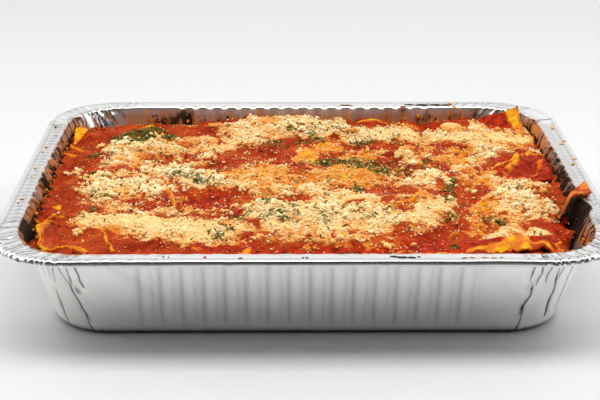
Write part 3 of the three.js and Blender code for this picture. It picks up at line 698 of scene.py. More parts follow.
# raised edges of pasta under the sauce: the places along each, its half width and its height
PASTA_EDGES = [
    ([(-107, -80), (-104, -89), (-99, -104)], 0.9, 1.3),
    ([(-104, 104), (-97, 98), (-91, 84)], 1.1, 0.8),
    ([(-66, -36), (-62, -48)], 1.0, 0.9),
    ([(-144, 66), (-139, 56), (-136, 48)], 1.3, 1.2),
    ([(-146, 44), (-138, 42)], 1.0, 1.0),
    ([(106, -60), (97, -62), (91, -72), (93, -82)], 1.2, 1.6),
    ([(112, -26), (100, -30), (93, -44), (92, -52)], 1.3, 2.2),
    ([(103, 60), (96, 48), (97, 34)], 1.2, 1.0),
    ([(100, 18), (101, 6), (106, -8)], 1.2, 1.6),
    ([(66, -12), (66, -24), (60, -34)], 1.6, 1.2),
    ([(116, -84), (107, -92), (101, -103)], 1.3, 1.6),
    ([(132, -84), (129, -92), (131, -102)], 1.0, 1.2),
    ([(120, 110), (116, 96)], 1.2, 1.0),
    ([(-137, -95), (-130, -98), (-124, -97), (-118, -101), (-113, -103)], 0.9, 1.8),
    ([(-147, -56), (-141, -59), (-136, -55), (-131, -57)], 0.9, 2.2),
    ([(61, 109), (66, 105), (71, 104)], 1.2, 1.4),
    ([(44, -99), (50, -101), (54, -104)], 2.2, 1.5),
    ([(20, -103.5), (33, -104.5)], 1.4, 0.8),
    ([(62, -104), (78, -103)], 1.4, 0.8),
]
# where herbs lie thick: the first three are the great heap at the back left
HERB_HEAPS = [
    (-101, 81, 12, 10, 1.0), (-108, 76, 11, 6, 0.9), (-91, 77, 9, 7, 0.9), (-73, 14, 8, 7, 0.7, -40),
    (-63, 2, 7, 5, 0.8, -30), (-56, -4, 6, 3, 0.7, -40), (18, 32, 14, 6, 0.6), (36, 31, 13, 8, 0.62),
    (50, 21, 11, 9, 0.5), (52, 12, 6, 5, 0.4), (28, -9, 6, 5, 0.5), (-4, 92, 7, 8, 0.35),
    (10, 86, 10, 8, 0.35), (4, 74, 10, 5, 0.5), (-18, 68, 9, 5, 0.55), (34, 68, 8, 6, 0.4),
    (58, 72, 5, 5, 0.4), (-24, -36, 7, 6, 0.6), (-10, -42, 7, 5, 0.4), (-34, -54, 7, 6, 0.45),
    (-8, -58, 22, 10, 0.26), (24, -54, 22, 9, 0.2), (46, -48, 14, 8, 0.14), (14, 2, 30, 10, 0.1),
    (30, 88, 26, 10, 0.1), (82, -8, 3, 10, 0.7), (80, -24, 3.5, 9, 0.7), (77, -58, 3, 6, 0.7),
    (97, -64, 4, 6, 0.5), (106, -68, 4, 3, 0.5), (75, 30, 6, 6, 0.5), (77, -93, 2.6, 2, 0.5),
    (-118, -44, 3, 3, 0.9), (-116, -20, 5, 6, 0.35), (-122, 8, 5, 5, 0.5), (-128, 44, 4, 10, 0.3),
    (122, -14, 5, 4, 0.4), (-3, -103, 4, 2, 0.6), (-44, -80, 10, 8, 0.2), (-98, 52, 30, 20, 0.07),
    (-80, 16, 40, 14, 0.06),
]
# burnt spots: the middle and the size of each
BURNT = [
    (-134, -55, 1.8), (-137, -63, 2.6), (-132, -66, 1.3), (23, 65, 1.3), (50, -16, 1.4), (-12, -96, 1.6),
    (-127, -100.5, 1.5), (-119, -103, 1.2), (50, 39, 1.3), (18, 44, 1.8), (12.6, 114, 1.6),
    (14, 118, 1.6), (110, -102, 2.0), (118, -98, 1.6),
]


def within(x, y, patch):
    """How far a place is from a patch's middle: 1 on its outline."""
    turn = math.radians(patch[5]) if len(patch) > 5 else 0
    u = ((x - patch[0]) * math.cos(turn) + (y - patch[1]) * math.sin(turn)) / patch[2]
    v = ((y - patch[1]) * math.cos(turn) - (x - patch[0]) * math.sin(turn)) / patch[3]
    return np.hypot(u, v)


def knobs(x, y, size, seed):
    """Hills over the food."""
    return hills(x + 300, y + 300, size, seed)


def cover(x, y, patches, ragged=0.35, seed=60):
    """How well the patches cover a place, from 0 to 1, with ragged edges."""
    x, y = x + 3.0 * knobs(x, y, 9, seed + 2), y + 2.5 * knobs(x, y, 8, seed + 3)
    most = np.zeros(np.shape(x))
    for patch in patches:
        most = np.maximum(most, patch[4] * (1 - ramp(within(x, y, patch), 0.5, 1.75)))
    uneven = knobs(x, y, 5.0, seed) + 0.8 * hills(x + 300 + y * 0.4, y + 300, 2.2, seed + 1)
    return np.clip(most + ragged * uneven * ramp(most, 0, 0.3), 0, 1)


def near_line(x, y, places, width):
    """1 along a wavering line of places, and less with distance from it."""
    x, y = x + 1.3 * knobs(x, y, 4.5, 58), y + 1.0 * knobs(x, y, 4, 59)
    return bell(line_gap(x, y, places) / width)


def wall_gap(x, y):
    """How far a place is inside the food's edge, where it meets the foil."""
    inner = np.array([EDGE_HALF[0] - EDGE_CORNER, EDGE_HALF[1] - EDGE_CORNER])
    dx, dy = np.abs(x) - inner[0], np.abs(y) - inner[1]
    outside = np.hypot(np.maximum(dx, 0), np.maximum(dy, 0)) + np.minimum(np.maximum(dx, dy), 0)
    return EDGE_CORNER - outside


EDGE_SHARE, EDGE_INSET, HIDDEN_INSET = 45.0 / TRAY_TOP, 0.5, 3.5
EDGE_HALF = BASE_HALF * (1 - EDGE_SHARE) + MOUTH_HALF * EDGE_SHARE - EDGE_INSET
EDGE_CORNER = BASE_CORNER * (1 - EDGE_SHARE) + MOUTH_CORNER * EDGE_SHARE - EDGE_INSET


def cheese_at(x, y):
    return cover(x, y, GRATED)


def melt_at(x, y):
    return cover(x, y, MELTED, ragged=0.45, seed=62)


# where the cheese melted into a smooth carpet
SMOOTH = [
    (-96, -64, 28, 12, 1.0, -10), (-60, -76, 18, 8, 0.6, -10), (124, 80, 24, 9, 0.9),
    (112, -74, 18, 6, 0.9), (46, 88, 20, 8, 0.6), (-62, 66, 20, 8, 0.5),
]


def back_heap(x, y):
    """How full the great heap of herbs at the back left is."""
    return cover(x, y, HERB_HEAPS[:3], seed=66)


def stands_out(x, y):
    """How far the grated cheese keeps its shape: less in the carpet and under the great heap of herbs."""
    return (1 - 0.75 * cover(x, y, SMOOTH, seed=107)) * (1 - 0.8 * back_heap(x, y))


def edge_fall(x, y):
    """How far the food sinks where it has shrunk from the foil: most at the right wall's front end."""
    away = wall_gap(x, y)
    front = ramp(x, 120, 140) * ramp(y, -108, -86) * (1 - ramp(y, -44, -26))
    side = ramp(np.abs(x), 128, 142) * ramp(y, -62, -48) * (1 - ramp(y, 70, 92)) * (1 - front)
    uneven = 0.6 + 0.6 * hills(x + 200, y + 200, 8, 71)
    depth = 1.6 - 2.6 * side + 12 * front
    reach = 1.8 + 2.2 * front + 1.2 * side
    return depth * np.clip(uneven, 0.15, 1.3) * np.exp(-np.maximum(away, 0) / reach)


def food_top(x, y):
    """The height of the food's top."""
    z = np.full(np.shape(x), FILL_LEVEL)
    for swell in SWELLS:
        z += swell[4] * bell(within(x, y, swell))
    broad = hills(x * 0.7 + 400, y + 400, 16, 81)
    z += 1.5 * broad + 1.3 * hills(x + 400 + 0.3 * y, y + 400 - 0.3 * x, 8.5, 82)
    cheese, grains = cheese_at(x, y), hills(x * 0.9 + 300, y + 300 + 0.3 * x, 2.1, 83)
    z += 0.9 * cheese + (0.6 * cheese + 0.4 * melt_at(x, y)) * grains
    slanting = hills(x + 300 - 0.5 * y, y + 300 + 0.5 * x, 4.2, 84)
    z += 0.6 * slanting + 0.28 * knobs(x, y, 1.9, 85)
    for places, width, height in PASTA_EDGES:
        z += height * near_line(x, y, places, width * 1.3)
    return z - edge_fall(x, y)


def fit_wall(x, y, z, near):
    """Moves places near the food's edge out or in, to stay against the foil's slope at their own height."""
    t = z / TRAY_TOP
    inset = EDGE_INSET + HIDDEN_INSET * (1 - ramp(z, 34, 41))
    half = BASE_HALF * (1 - t)[..., None] + MOUTH_HALF * t[..., None] - inset[..., None]
    corner = BASE_CORNER * (1 - t) + MOUTH_CORNER * t - inset
    bulge = SIDE_BULGE * (1 - np.clip(y / (MOUTH_HALF[1] - MOUTH_CORNER), -1, 1) ** 2) * ramp(z, 6, 40)
    half[..., 0] += bulge + np.where(x > 0, flutes(1, y)[0], flutes(3, -y)[0])
    half[..., 1] += np.where(y > 0, flutes(2, -x)[0], flutes(0, x)[0])
    moved = []
    for k, v in enumerate((x, y)):
        inner = EDGE_HALF[k] - EDGE_CORNER
        beyond = np.maximum(np.abs(v) - inner, 0) * corner / EDGE_CORNER
        held = np.minimum(np.abs(v), inner) * (half[..., k] - corner) / inner
        moved.append(v + near * (np.sign(v) * (held + beyond) - v))
    return moved


across = np.linspace(-1, 1, int(2 * EDGE_HALF[0] / CELL))
down = np.linspace(-1, 1, int(2 * EDGE_HALF[1] / CELL))
x, y = np.meshgrid(across * EDGE_HALF[0], down * EDGE_HALF[1])
a = np.maximum(np.abs(x) - EDGE_HALF[0] + EDGE_CORNER, 0) / EDGE_CORNER
b = np.maximum(np.abs(y) - EDGE_HALF[1] + EDGE_CORNER, 0) / EDGE_CORNER
pull = np.where((a > 0) & (b > 0), np.maximum(a, b) / np.maximum(np.hypot(a, b), 1e-9), 1)
x -= np.sign(x) * a * (1 - pull) * EDGE_CORNER
y -= np.sign(y) * b * (1 - pull) * EDGE_CORNER
z = food_top(x, y)
pasta = cover(x, y, BARE_PASTA, ragged=0.5, seed=64)
for places, width, height in PASTA_EDGES:
    pasta = np.maximum(pasta, 0.85 * near_line(x, y, places, width * 0.8))
char_and_shade = sum(np.exp(-((x - bx) ** 2 + (y - by) ** 2) / br**2) for bx, by, br in BURNT)
# where the food sinks deep from the foil it gets painted shade, darker the deeper it sinks
char_and_shade = np.maximum(char_and_shade * (0.8 + 0.5 * hills(x + 200, y + 200, 1.3, 91)), ramp(edge_fall(x, y), 1.6, 5.5))
# darker in a ragged band along the food's edge by the side walls
dark_edge_band = ramp(np.abs(x), 128, 142) * ramp(hills(x * 0.3 + 200, y + 200, 3.5, 90), -0.5, 0.3)
char_and_shade = np.maximum(char_and_shade, 0.9 * dark_edge_band * ramp(3.2 - wall_gap(x, y), 0, 2.4))
skins = {
    "cheese": cheese_at(x, y) * (0.87 + 0.2 * (1 - stands_out(x, y))),
    "melt": melt_at(x, y),
    "pasta": pasta,
    "herbs": cover(x, y, HERB_HEAPS, ragged=0.6, seed=66),
    "char_and_shade": np.clip(char_and_shade, 0, 1),
    "wet": cover(x, y, WET, ragged=0.4, seed=68),
}
near = np.pad(1 - ramp(wall_gap(x, y), 0, 14), 1, constant_values=1)
x, y = np.pad(x, 1, mode="edge"), np.pad(y, 1, mode="edge")
z = np.pad(z, 1, constant_values=BODY_FOOT)
skins = {key: np.pad(value, 1, mode="edge") for key, value in skins.items()}
x, y = fit_wall(x, y, z, near)
body = lay_grid("lasagne_block", np.stack([x, y, z], 2), skins)
bpy.ops.object.mode_set(mode="EDIT")
bpy.ops.mesh.select_mode(type="EDGE")
bpy.ops.mesh.select_all(action="SELECT")
bpy.ops.mesh.remove_doubles(threshold=BLOCK_WELD)
bpy.ops.mesh.select_all(action="DESELECT")
bpy.ops.mesh.select_non_manifold()
bpy.ops.mesh.edge_face_add()
bpy.ops.object.mode_set(mode="OBJECT")
bpy.ops.object.shade_smooth()

SAUCE_COLOUR, DEEP_SAUCE = (0.39, 0.041, 0.009, 1), (0.23, 0.015, 0.003, 1)
BRIGHT_SAUCE, OIL_COLOUR = (0.54, 0.095, 0.015, 1), (0.68, 0.13, 0.015, 1)
WET_SAUCE, WET_SHADE = (0.5, 0.03, 0.002, 1), (0.17, 0.006, 0.001, 1)
CHEESE_COLOUR, CRUST_COLOUR = (0.95, 0.625, 0.26, 1), (0.82, 0.37, 0.085, 1)
MELT_COLOUR, GOLD_COLOUR = (0.7, 0.18, 0.018, 1), (0.88, 0.4, 0.05, 1)
PASTA_COLOUR, PASTA_SHADE = (0.84, 0.45, 0.008, 1), (0.72, 0.19, 0.012, 1)
# the pasta's painted highlight, and the char's near-black, which is also painted shade where the food sinks
# from the foil
PAINTED_PASTA_HIGHLIGHT, CHAR_AND_SHADE_COLOUR = (0.95, 0.62, 0.2, 1), (0.025, 0.01, 0.005, 1)
HERB_COLOUR, HERB_SHADE = (0.28, 0.18, 0.045, 1), (0.06, 0.042, 0.01, 1)


def sauced(name, shine):
    """Baked tomato sauce, mottled bright and deep, with what lies in it: cheese, pasta, herbs and char,
    whose near-black is also painted shade where the food sinks from the foil.
    """
    made, shader, node = paint(name)
    place = node("TexCoord").outputs["Object"]

    def grains(scale, detail=3.0):
        return noise(node, place, scale, detail, 0.6)

    def laid(below, share, low, high, above):
        return blend(node, spread(node, share, low, high), below, above)

    def ragged(key, grain, amount):
        moved = node("Math", {0: grain, 1: -0.5}, operation="ADD").outputs[0]
        return added(node, kept(node, key), moved, amount)

    mottle, fine, grainy = grains(75.0, 5.0), grains(240.0), grains(520.0)
    colour = laid(DEEP_SAUCE, mottle, 0.34, 0.5, SAUCE_COLOUR)
    colour = laid(colour, mottle, 0.53, 0.72, BRIGHT_SAUCE)
    colour = laid(colour, grains(330.0, 1.5), 0.62, 0.72, OIL_COLOUR)
    colour = laid(colour, grains(290.0, 2.0), 0.4, 0.33, DEEP_SAUCE)
    pool = laid(WET_SHADE, fine, 0.35, 0.6, WET_SAUCE)
    colour = laid(colour, ragged("wet", fine, 0.6), 0.28, 0.6, pool)
    melt = ragged("melt", fine, 0.9)
    colour = laid(colour, melt, 0.3, 0.6, MELT_COLOUR)
    colour = laid(colour, melt, 0.7, 1.05, GOLD_COLOUR)
    cheese = ragged("cheese", grainy, 0.9)
    colour = laid(colour, cheese, 0.2, 0.5, CRUST_COLOUR)
    dry = spread(node, cheese, 0.5, 0.75)
    colour = blend(node, dry, colour, CHEESE_COLOUR)
    cooked, pasta = grains(130.0, 2.0), ragged("pasta", fine, 0.8)
    yellow = laid(PASTA_SHADE, cooked, 0.36, 0.56, PASTA_COLOUR)
    # a painted highlight in patches on the pasta
    yellow = laid(yellow, cooked, 0.6, 0.78, PAINTED_PASTA_HIGHLIGHT)
    colour = laid(colour, pasta, 0.15, 0.55, PASTA_SHADE)
    colour = laid(colour, pasta, 0.45, 0.95, yellow)
    leafy = laid(HERB_SHADE, grains(700.0, 2.0), 0.42, 0.6, HERB_COLOUR)
    colour = laid(colour, ragged("herbs", grainy, 0.9), 0.45, 0.85, leafy)
    # char, and painted shade where the food sinks from the foil
    colour = laid(colour, ragged("char_and_shade", fine, 0.6), 0.3, 0.7, CHAR_AND_SHADE_COLOUR)
    rough = spread(node, dry, least=0.62 - 2.2 * shine, most=0.7)
    bump = bumped(node, added(node, grains(650.0, 4.0), fine, 1.6), 0.7, 0.0008)
    node(shader, {"Base Color": colour, "Roughness": rough, "Normal": bump, "Specular IOR Level": shine})
    return made


body.data.materials.append(sauced("baked_sauce_and_cheese", 0.02))
body.data.materials.append(sauced("wet_sauce", 0.06))
wet, grated = (np.empty(len(body.data.vertices), np.float32) for k in range(2))
body.data.attributes["wet"].data.foreach_get("value", wet)
body.data.attributes["cheese"].data.foreach_get("value", grated)
soaked = (wet > 0.5) & (grated < 0.35)
for face in body.data.polygons:
    if len(face.vertices) < 5 and all(soaked[corner] for corner in face.vertices):
        face.material_index = 1
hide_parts("lasagne_body")
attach(body, "root")

# ---- the pasta that stands out of the top ----
# Edges and corners of the pasta sheets that stuck out of the sauce and dried in the oven: curled lips,
# arches and folds. Each stands in the block, sauced where it lies low and yellow along its free edge.
PASTA_THICK, PASTA_ROUND, ROUND_ANGLE = 1.5, 0.4, 60


def patch(a, b, c, d, u, v):
    """A place in the four-cornered patch a, b, c, d."""
    corners = [np.array(p, float)[:, None, None] for p in (a, b, c, d)]
    low = corners[0] * (1 - u) + corners[1] * u
    high = corners[3] * (1 - u) + corners[2] * u
    return list(low * (1 - v) + high * v)


def mix(a, b, t):
    return a + (b - a) * t


def sunk(u, v, depth, reach):
    """How far a sheet dips at its borders, so that they lie under the sauce."""
    return depth * (1 - ramp(np.minimum(np.minimum(u, 1 - u), np.minimum(v, 1 - v)), 0, reach))


def lip_front_left(u, v):
    y = mix(-57, -97, u)
    reach = 10 * np.sin(math.pi * (0.16 + 0.72 * u)) - 1.5 * u + 1.2 * np.sin(17 * u) * v
    return -132.5 - reach * v, y, 43.6 + (1.2 + 4.2 * bell((y + 76) / 12)) * v**1.5


def stripes(u, v):
    """Ridges that fan out from the arch's crown to its free edge."""
    return np.sin(19 * np.arctan2(0.68 - u, v - 0.2) + 2.5 * u)


def arch_front_right(u, v):
    crown = np.interp(u, (0, 0.08, 0.3, 0.6, 0.75, 0.92, 1), (2, 4.6, 7.2, 9.8, 8.8, 9.2, 3))
    side = np.interp(v, (0, 0.3, 0.55, 0.8, 1), (0.2, 0.75, 1, 0.88, 0.62))
    lifted = 1.2 * bell((u - 0.66) / 0.06) + 2.4 * bell((u - 0.83) / 0.07)
    z = 40.6 + crown * side + lifted * ramp(v, 0.75, 1) + 0.35 * stripes(u, v) * ramp(v, 0.35, 0.6)
    return mix(80, 127.5, u), mix(-80, -103, v) + 3 * (2 * u - 1) ** 2 * v, z


def yellow_side(u, v):
    """Where the arch's front side is bare and yellow."""
    edge = v - 0.06 * np.sin(7 * u + 0.6) + 0.3 * bell((u - 0.58) / 0.13)
    fan = ramp(edge, 0.62, 0.74) * (1 - ramp(u, 0.68, 0.76))
    bridge = bell((v - 0.84 - 0.9 * (u - 0.85)) / 0.09) * ramp(u, 0.68, 0.76) * (1 - ramp(u, 0.93, 0.98))
    return np.clip(fan + bridge, 0, 1)


def corner_back_right(u, v):
    x, y, z = patch((114, 82, 43.2), (143.2, 74, 43.2), (139.5, 108.5, 46), (112, 110.5, 43.6), u, v)
    crest = np.interp(u, (0, 0.2, 0.45, 0.8, 0.9, 1), (45.5, 49.5, 51.8, 54.4, 56.2, 58.4))
    return x, y, z + (crest - 43.6 - 2.4 * u) * v**1.8


def strip_right_rim(u, v):
    over = ramp(u, 0.18, 0.5)
    width = mix(9, 7, over) + 9 * ramp(u, 0.5, 0.85)
    wave = 0.8 * np.sin(9 * u + 5 * v)
    z = mix(44.5 + 14 * u, 56, over) + wave * (1 - over)
    return mix(137, 156.5, u), mix(-54, -36, u) + width * (v - 0.5), z


def tab_back_left(u, v):
    x, y, z = patch((-144, 67, 45.6), (-142.6, 67.5, 45.2), (-137.6, 87.5, 48.4), (-145, 88, 49.4), u, v)
    return x, y, z + 0.5 * np.sin(math.pi * u) * v


def fin_middle(u, v):
    y = mix(-6, -54, u)
    wave = 1.2 * np.sin(15 * u) * v
    return mix(-85, -79, v) + 9 * u * v + wave, y, 42.4 + (1.4 + 5.6 * bell((y + 22) / 13)) * v**1.4


# the yellow crests of the folds at the right
RIGHT_FOLDS = [
    ([(138, 47), (132, 38), (127, 28), (121, 18)], 1.5),
    ([(127, 32), (119, 24), (112, 20)], 1.2),
    ([(137, 42), (142, 33), (145, 27)], 1.3),
]


def folds_right(u, v):
    x, y = mix(110, 143.5, u), mix(3, 50, v) - 4 * u
    z = food_top(x, y) + 0.4 - sunk(u, v, 3.0, 0.16) * (1 - 0.9 * ramp(u, 0.6, 0.85))
    z += 4.5 * ramp(u, 0.6, 1) ** 1.3 * bell((v - 0.42) / 0.4)
    for places, width in RIGHT_FOLDS:
        z += 1.7 * near_line(x, y, places, width * 1.5)
    return x, y, z


def arch_back(u, v):
    return mix(31, 58, u), mix(103, 111, v), 42 + 5.8 * np.sin(math.pi * u) ** 0.7 * (0.5 + 0.5 * v)


def edge_front_left(u, v):
    x = mix(-125, -97, u)
    return x, mix(-90, -102, v) + 5 * (1 - u) ** 2 * v, 43.8 + 1.8 * v * (1 + np.sin(2.4 * math.pi * u))


def right_crests(u, v):
    x, y, z = folds_right(u, v)
    return sum(near_line(x, y, places, width) for places, width in RIGHT_FOLDS)


# each piece's shape, its cells each way, and what it is covered with and where
NOODLES = [
    ("lip_front_left", lip_front_left, (56, 16), {
        "pasta": lambda u, v: 0.4 * ramp(v, 0.55, 0.75) + 0.5 * ramp(v, 0.85, 1),
        "char_and_shade": lambda u, v: 0.7 * bell((u - 0.1) / 0.1) * bell((v - 0.5) / 0.3),
    }),
    ("arch_front_right", arch_front_right, (80, 40), {
        "pasta": lambda u, v: yellow_side(u, v) * (0.6 + 0.45 * stripes(u, v)),
        "melt": lambda u, v: (
            0.7 * yellow_side(u, v) * ramp(-stripes(u, v), -0.2, 0.6) + 0.35 * ramp(u, 0.85, 0.95)
        ),
        "wet": lambda u, v: (1 - yellow_side(u, v)) * (0.9 - 0.5 * ramp(v, 0.5, 0.9)),
        "cheese": lambda u, v: 0.8 * (1 - ramp(v, 0.1, 0.3)),
    }),
    ("corner_back_right", corner_back_right, (44, 44), {
        "pasta": lambda u, v: ramp(u + 0.04 * np.sin(9 * v), 0.73, 0.8) * (1 - 0.4 * ramp(u, 0.9, 1)),
        "melt": lambda u, v: 0.6 * ramp(u, 0.84, 1) + 0.4 * (1 - ramp(v, 0.5, 0.6)),
        "wet": lambda u, v: 0.95 * ramp(v, 0.4, 0.6) * (1 - ramp(u, 0.68, 0.75)),
        "char_and_shade": lambda u, v: 0.3 * ramp(u * v, 0.85, 0.97) + 0.3 * ramp(u, 0.94, 1),
        "cheese": lambda u, v: 1 - ramp(v, 0.1, 0.4),
    }),
    ("strip_right_rim", strip_right_rim, (36, 14), {
        "pasta": lambda u, v: 0.12 + 0.35 * ramp(u, 0.5, 0.9) * ramp(v, 0.3, 0.7),
        "melt": lambda u, v: 0.42 + 0.25 * np.sin(11 * u + 6 * v),
        "char_and_shade": lambda u, v: 0.45 * ramp(np.abs(v - 0.5), 0.2, 0.5) + 0.35 * (1 - ramp(u, 0.3, 0.6)),
    }),
    ("tab_back_left", tab_back_left, (14, 30), {
        "pasta": lambda u, v: 0.95 - 0.35 * (1 - v),
    }),
    ("fin_middle", fin_middle, (56, 18), {
        "pasta": lambda u, v: 0.45 * ramp(v, 0.88, 1) * (1 - ramp(u, 0.6, 0.9)),
        "melt": lambda u, v: 0.65 * ramp(v, 0.7, 0.95),
        "cheese": lambda u, v: 0.6 * ramp(v, 0.85, 1),
        "wet": lambda u, v: 0.7 * (1 - ramp(v, 0.3, 0.7)),
    }),
    ("folds_right", folds_right, (56, 52), {
        "pasta": lambda u, v: 0.9 * right_crests(u, v),
        "wet": lambda u, v: 0.5 + 0.45 * np.sin(9 * u + 14 * v) ** 2 - right_crests(u, v),
        "melt": lambda u, v: 0.35 * ramp(np.sin(13 * u - 8 * v), 0.2, 0.9),
        "char_and_shade": lambda u, v: 0.8 * bell((u - 0.42) / 0.1) * bell((v - 0.82) / 0.12),
    }),
    ("arch_back", arch_back, (36, 18), {
        "pasta": lambda u, v: 0.85 * ramp(v, 0.6, 1) * ramp(np.sin(math.pi * u), 0.1, 0.4),
        "wet": lambda u, v: 0.8 - 0.8 * ramp(v, 0.4, 0.6),
    }),
    ("edge_front_left", edge_front_left, (44, 18), {
        "pasta": lambda u, v: 0.8 * ramp(v, 0.65, 0.95),
        "char_and_shade": lambda u, v: 0.6 * bell((u - 0.3) / 0.08) * bell((v - 0.6) / 0.2),
    }),
]
# what can cover the food, each a value kept on its mesh
SKINS = ("cheese", "melt", "pasta", "herbs", "char_and_shade", "wet")
pasta_skin = sauced("sauced_pasta", 0.05)
for name, shape, cells, covers in NOODLES:
    u, v = np.meshgrid(np.linspace(0, 1, cells[0]), np.linspace(0, 1, cells[1]))
    torn = 0.07 * hills(u * cells[0] + 30, 7, 4.5, 94) + 0.04 * hills(u * cells[0] + 30, 7, 2, 93)
    x, y, z = shape(u, v * (1 + torn * (0.25 if name == "corner_back_right" else 1)))
    sheet = np.stack(np.broadcast_arrays(x, y, z), 2).astype(float)
    x, y, z = np.moveaxis(sheet, 2, 0)
    z += 0.35 * knobs(x, y, 4, 95) * np.sin(math.pi * u) ** 0.5
    sheet[:, :, :2] += 0.4 * hills(x + 300, z + y + 300, 3.5, 96)[..., None]
    ragged = knobs(x, y, 2.5, 97) + hills(u * 40 + 20, v * 20 + 20, 4, 92)
    skins = {}
    for key in SKINS:
        level = covers[key](u, v) if key in covers else 0 * u
        skins[key] = np.clip(level * (1 + 0.2 * ragged) + 0.06 * ragged * (level > 0.02), 0, 1)
    piece = lay_grid("pasta_" + name, sheet, skins)
    press("SOLIDIFY", thickness=PASTA_THICK * MM, offset=0)
    edit(bpy.ops.mesh.normals_make_consistent, inside=False)
    limit = {"limit_method": "ANGLE", "angle_limit": math.radians(ROUND_ANGLE)}
    press("BEVEL", width=PASTA_ROUND * MM, segments=1, **limit)
    bpy.ops.object.shade_smooth()
    piece.data.materials.append(pasta_skin)
    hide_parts("noodle_" + name)
    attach(piece, "root")

# a bubble that the steam blew in a pasta sheet: its middle and its half sizes
BLISTER_PLACE, BLISTER_HALF = np.array([96, 100, 44.5]), np.array([8, 6.5, 4.6])
bpy.ops.object.select_all(action="DESELECT")
bpy.ops.mesh.primitive_uv_sphere_add(segments=40, ring_count=24, radius=1, location=(0, 0, 0))
blister = bpy.context.object
blister.name = blister.data.name = "pasta_blister_back"
ball = np.empty(len(blister.data.vertices) * 3)
blister.data.vertices.foreach_get("co", ball)
ball = ball.reshape(-1, 3)
bulge = 1 + 0.12 * hills(ball[:, 0] * 8 + 40, ball[:, 1] * 6 + 40, 4, 98)[:, None]
crown = ball[:, 2]
ball = BLISTER_PLACE + ball * bulge * BLISTER_HALF
blister.data.vertices.foreach_set("co", (ball * MM).ravel())
covers = {"pasta": 0.55 - 0.35 * crown, "melt": 1.0 + 0 * crown, "cheese": 0.7 * ramp(crown, 0, 0.8)}
for key in SKINS:
    values = np.clip(covers.get(key, 0 * crown), 0, 1)
    blister.data.attributes.new(key, "FLOAT", "POINT").data.foreach_set("value", values)
bpy.ops.object.shade_smooth()
blister.data.materials.append(pasta_skin)
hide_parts("noodle_blister_back")
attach(blister, "root")

# ---- what is strewn over the top ----
# Hard cheese grated coarse and fine, and dried herbs rubbed between the fingers. Each kind is one mesh of
# many small closed pieces, which lie on the top where the patches above say.
EDGE_MARGIN = 1.5


def strew(draw, count, weigh):
    """Random places on the top, more where weigh(x, y) is high: x, y and height."""
    found = np.zeros((2, 0))
    while found.shape[1] < count:
        x = draw.uniform(-EDGE_HALF[0], EDGE_HALF[0], count * 4)
        y = draw.uniform(-EDGE_HALF[1], EDGE_HALF[1], count * 4)
        lies = (draw.uniform(0, 1, count * 4) < weigh(x, y)) & (wall_gap(x, y) > EDGE_MARGIN)
        found = np.concatenate([found, [x[lies], y[lies]]], 1)
    x, y = found[:, :count]
    return np.column_stack([x, y, food_top(x, y)])


def turns_about(axis, angles):
    """A turn about an axis by each angle."""
    turns = np.tile(np.eye(3), (len(angles), 1, 1))
    i, j = (axis + 1) % 3, (axis + 2) % 3
    turns[:, i, i] = turns[:, j, j] = np.cos(angles)
    turns[:, j, i], turns[:, i, j] = np.sin(angles), -np.sin(angles)
    return turns


def turned(draw, count, tilt):
    """Random turns: any way round, and tilted by up to about tilt degrees."""
    spin, lean = draw.uniform(0, 2 * math.pi, count), np.radians(tilt) * draw.normal(0, 0.6, count)
    roll = np.radians(tilt) * draw.normal(0, 0.6, count)
    return turns_about(2, spin) @ turns_about(0, lean) @ turns_about(1, roll)


def scatter(name, shapes, faces, places, sizes, turns, draw, tone):
    """One mesh of many copies of a few shapes, each at its place, size and turn, with a tone of its own."""
    kinds = draw.integers(0, len(shapes), len(places))
    points = np.einsum("nij,nkj->nki", turns, shapes[kinds] * sizes[:, None, :]) + places[:, None, :]
    corners = faces[None] + (np.arange(len(places)) * shapes.shape[1])[:, None, None]
    mesh = bpy.data.meshes.new(name)
    mesh.vertices.add(points.shape[0] * points.shape[1])
    mesh.vertices.foreach_set("co", (points * MM).astype(np.float32).ravel())
    mesh.loops.add(corners.size)
    mesh.loops.foreach_set("vertex_index", corners.ravel().astype(np.int32))
    mesh.polygons.add(corners.shape[0] * corners.shape[1])
    mesh.polygons.foreach_set("loop_start", np.arange(0, corners.size, corners.shape[2], dtype=np.int32))
    mesh.polygons.foreach_set("use_smooth", np.ones(len(mesh.polygons), bool))
    mesh.update(calc_edges=True)
    tones = mesh.attributes.new("tone", "FLOAT", "POINT")
    tones.data.foreach_set("value", np.repeat(tone, points.shape[1]))
    piece = bpy.data.objects.new(name, mesh)
    bpy.context.collection.objects.link(piece)
    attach(piece, "root")
    return piece


def lumps(draw, kinds, detail):
    """A few rough lumps of about unit size, and their faces: balls pressed out of round."""
    bpy.ops.object.select_all(action="DESELECT")
    bpy.ops.mesh.primitive_ico_sphere_add(subdivisions=detail, radius=0.5)
    ball = bpy.context.object
    points = np.array([v.co[:] for v in ball.data.vertices])
    faces = np.array([p.vertices[:] for p in ball.data.polygons])
    bpy.data.meshes.remove(ball.data)
    bump = draw.uniform(0.62, 1.2, (kinds, len(points), 1))
    return points * bump, faces


def toned(name, stops, grain=900.0, cloud=0.0, rough=0.5, sheen=0.15):
    """A crumb's skin: its colour goes by its tone. If it has grain, it is bumpy, and as cloudy as asked."""
    made, shader, node = paint(name)
    tone = kept(node, "tone")
    if grain:
        grainy = noise(node, node("TexCoord").outputs["Object"], grain, 2.0)
        node(shader, {"Normal": bumped(node, grainy, 0.4, 0.0003)})
        tone = added(node, tone, grainy, cloud)
    ramped = node("ValToRGB", {"Fac": tone})
    colours = ramped.color_ramp.elements
    for colour, stop in zip(colours, (stops[0], stops[-1])):
        colour.position, colour.color = stop[0], (*stop[1], 1)
    for at, colour in stops[1:-1]:
        colours.new(at).color = (*colour, 1)
    node(shader, {"Base Color": ramped.outputs["Color"], "Roughness": rough, "Specular IOR Level": sheen})
    return made


draw = np.random.default_rng(31)


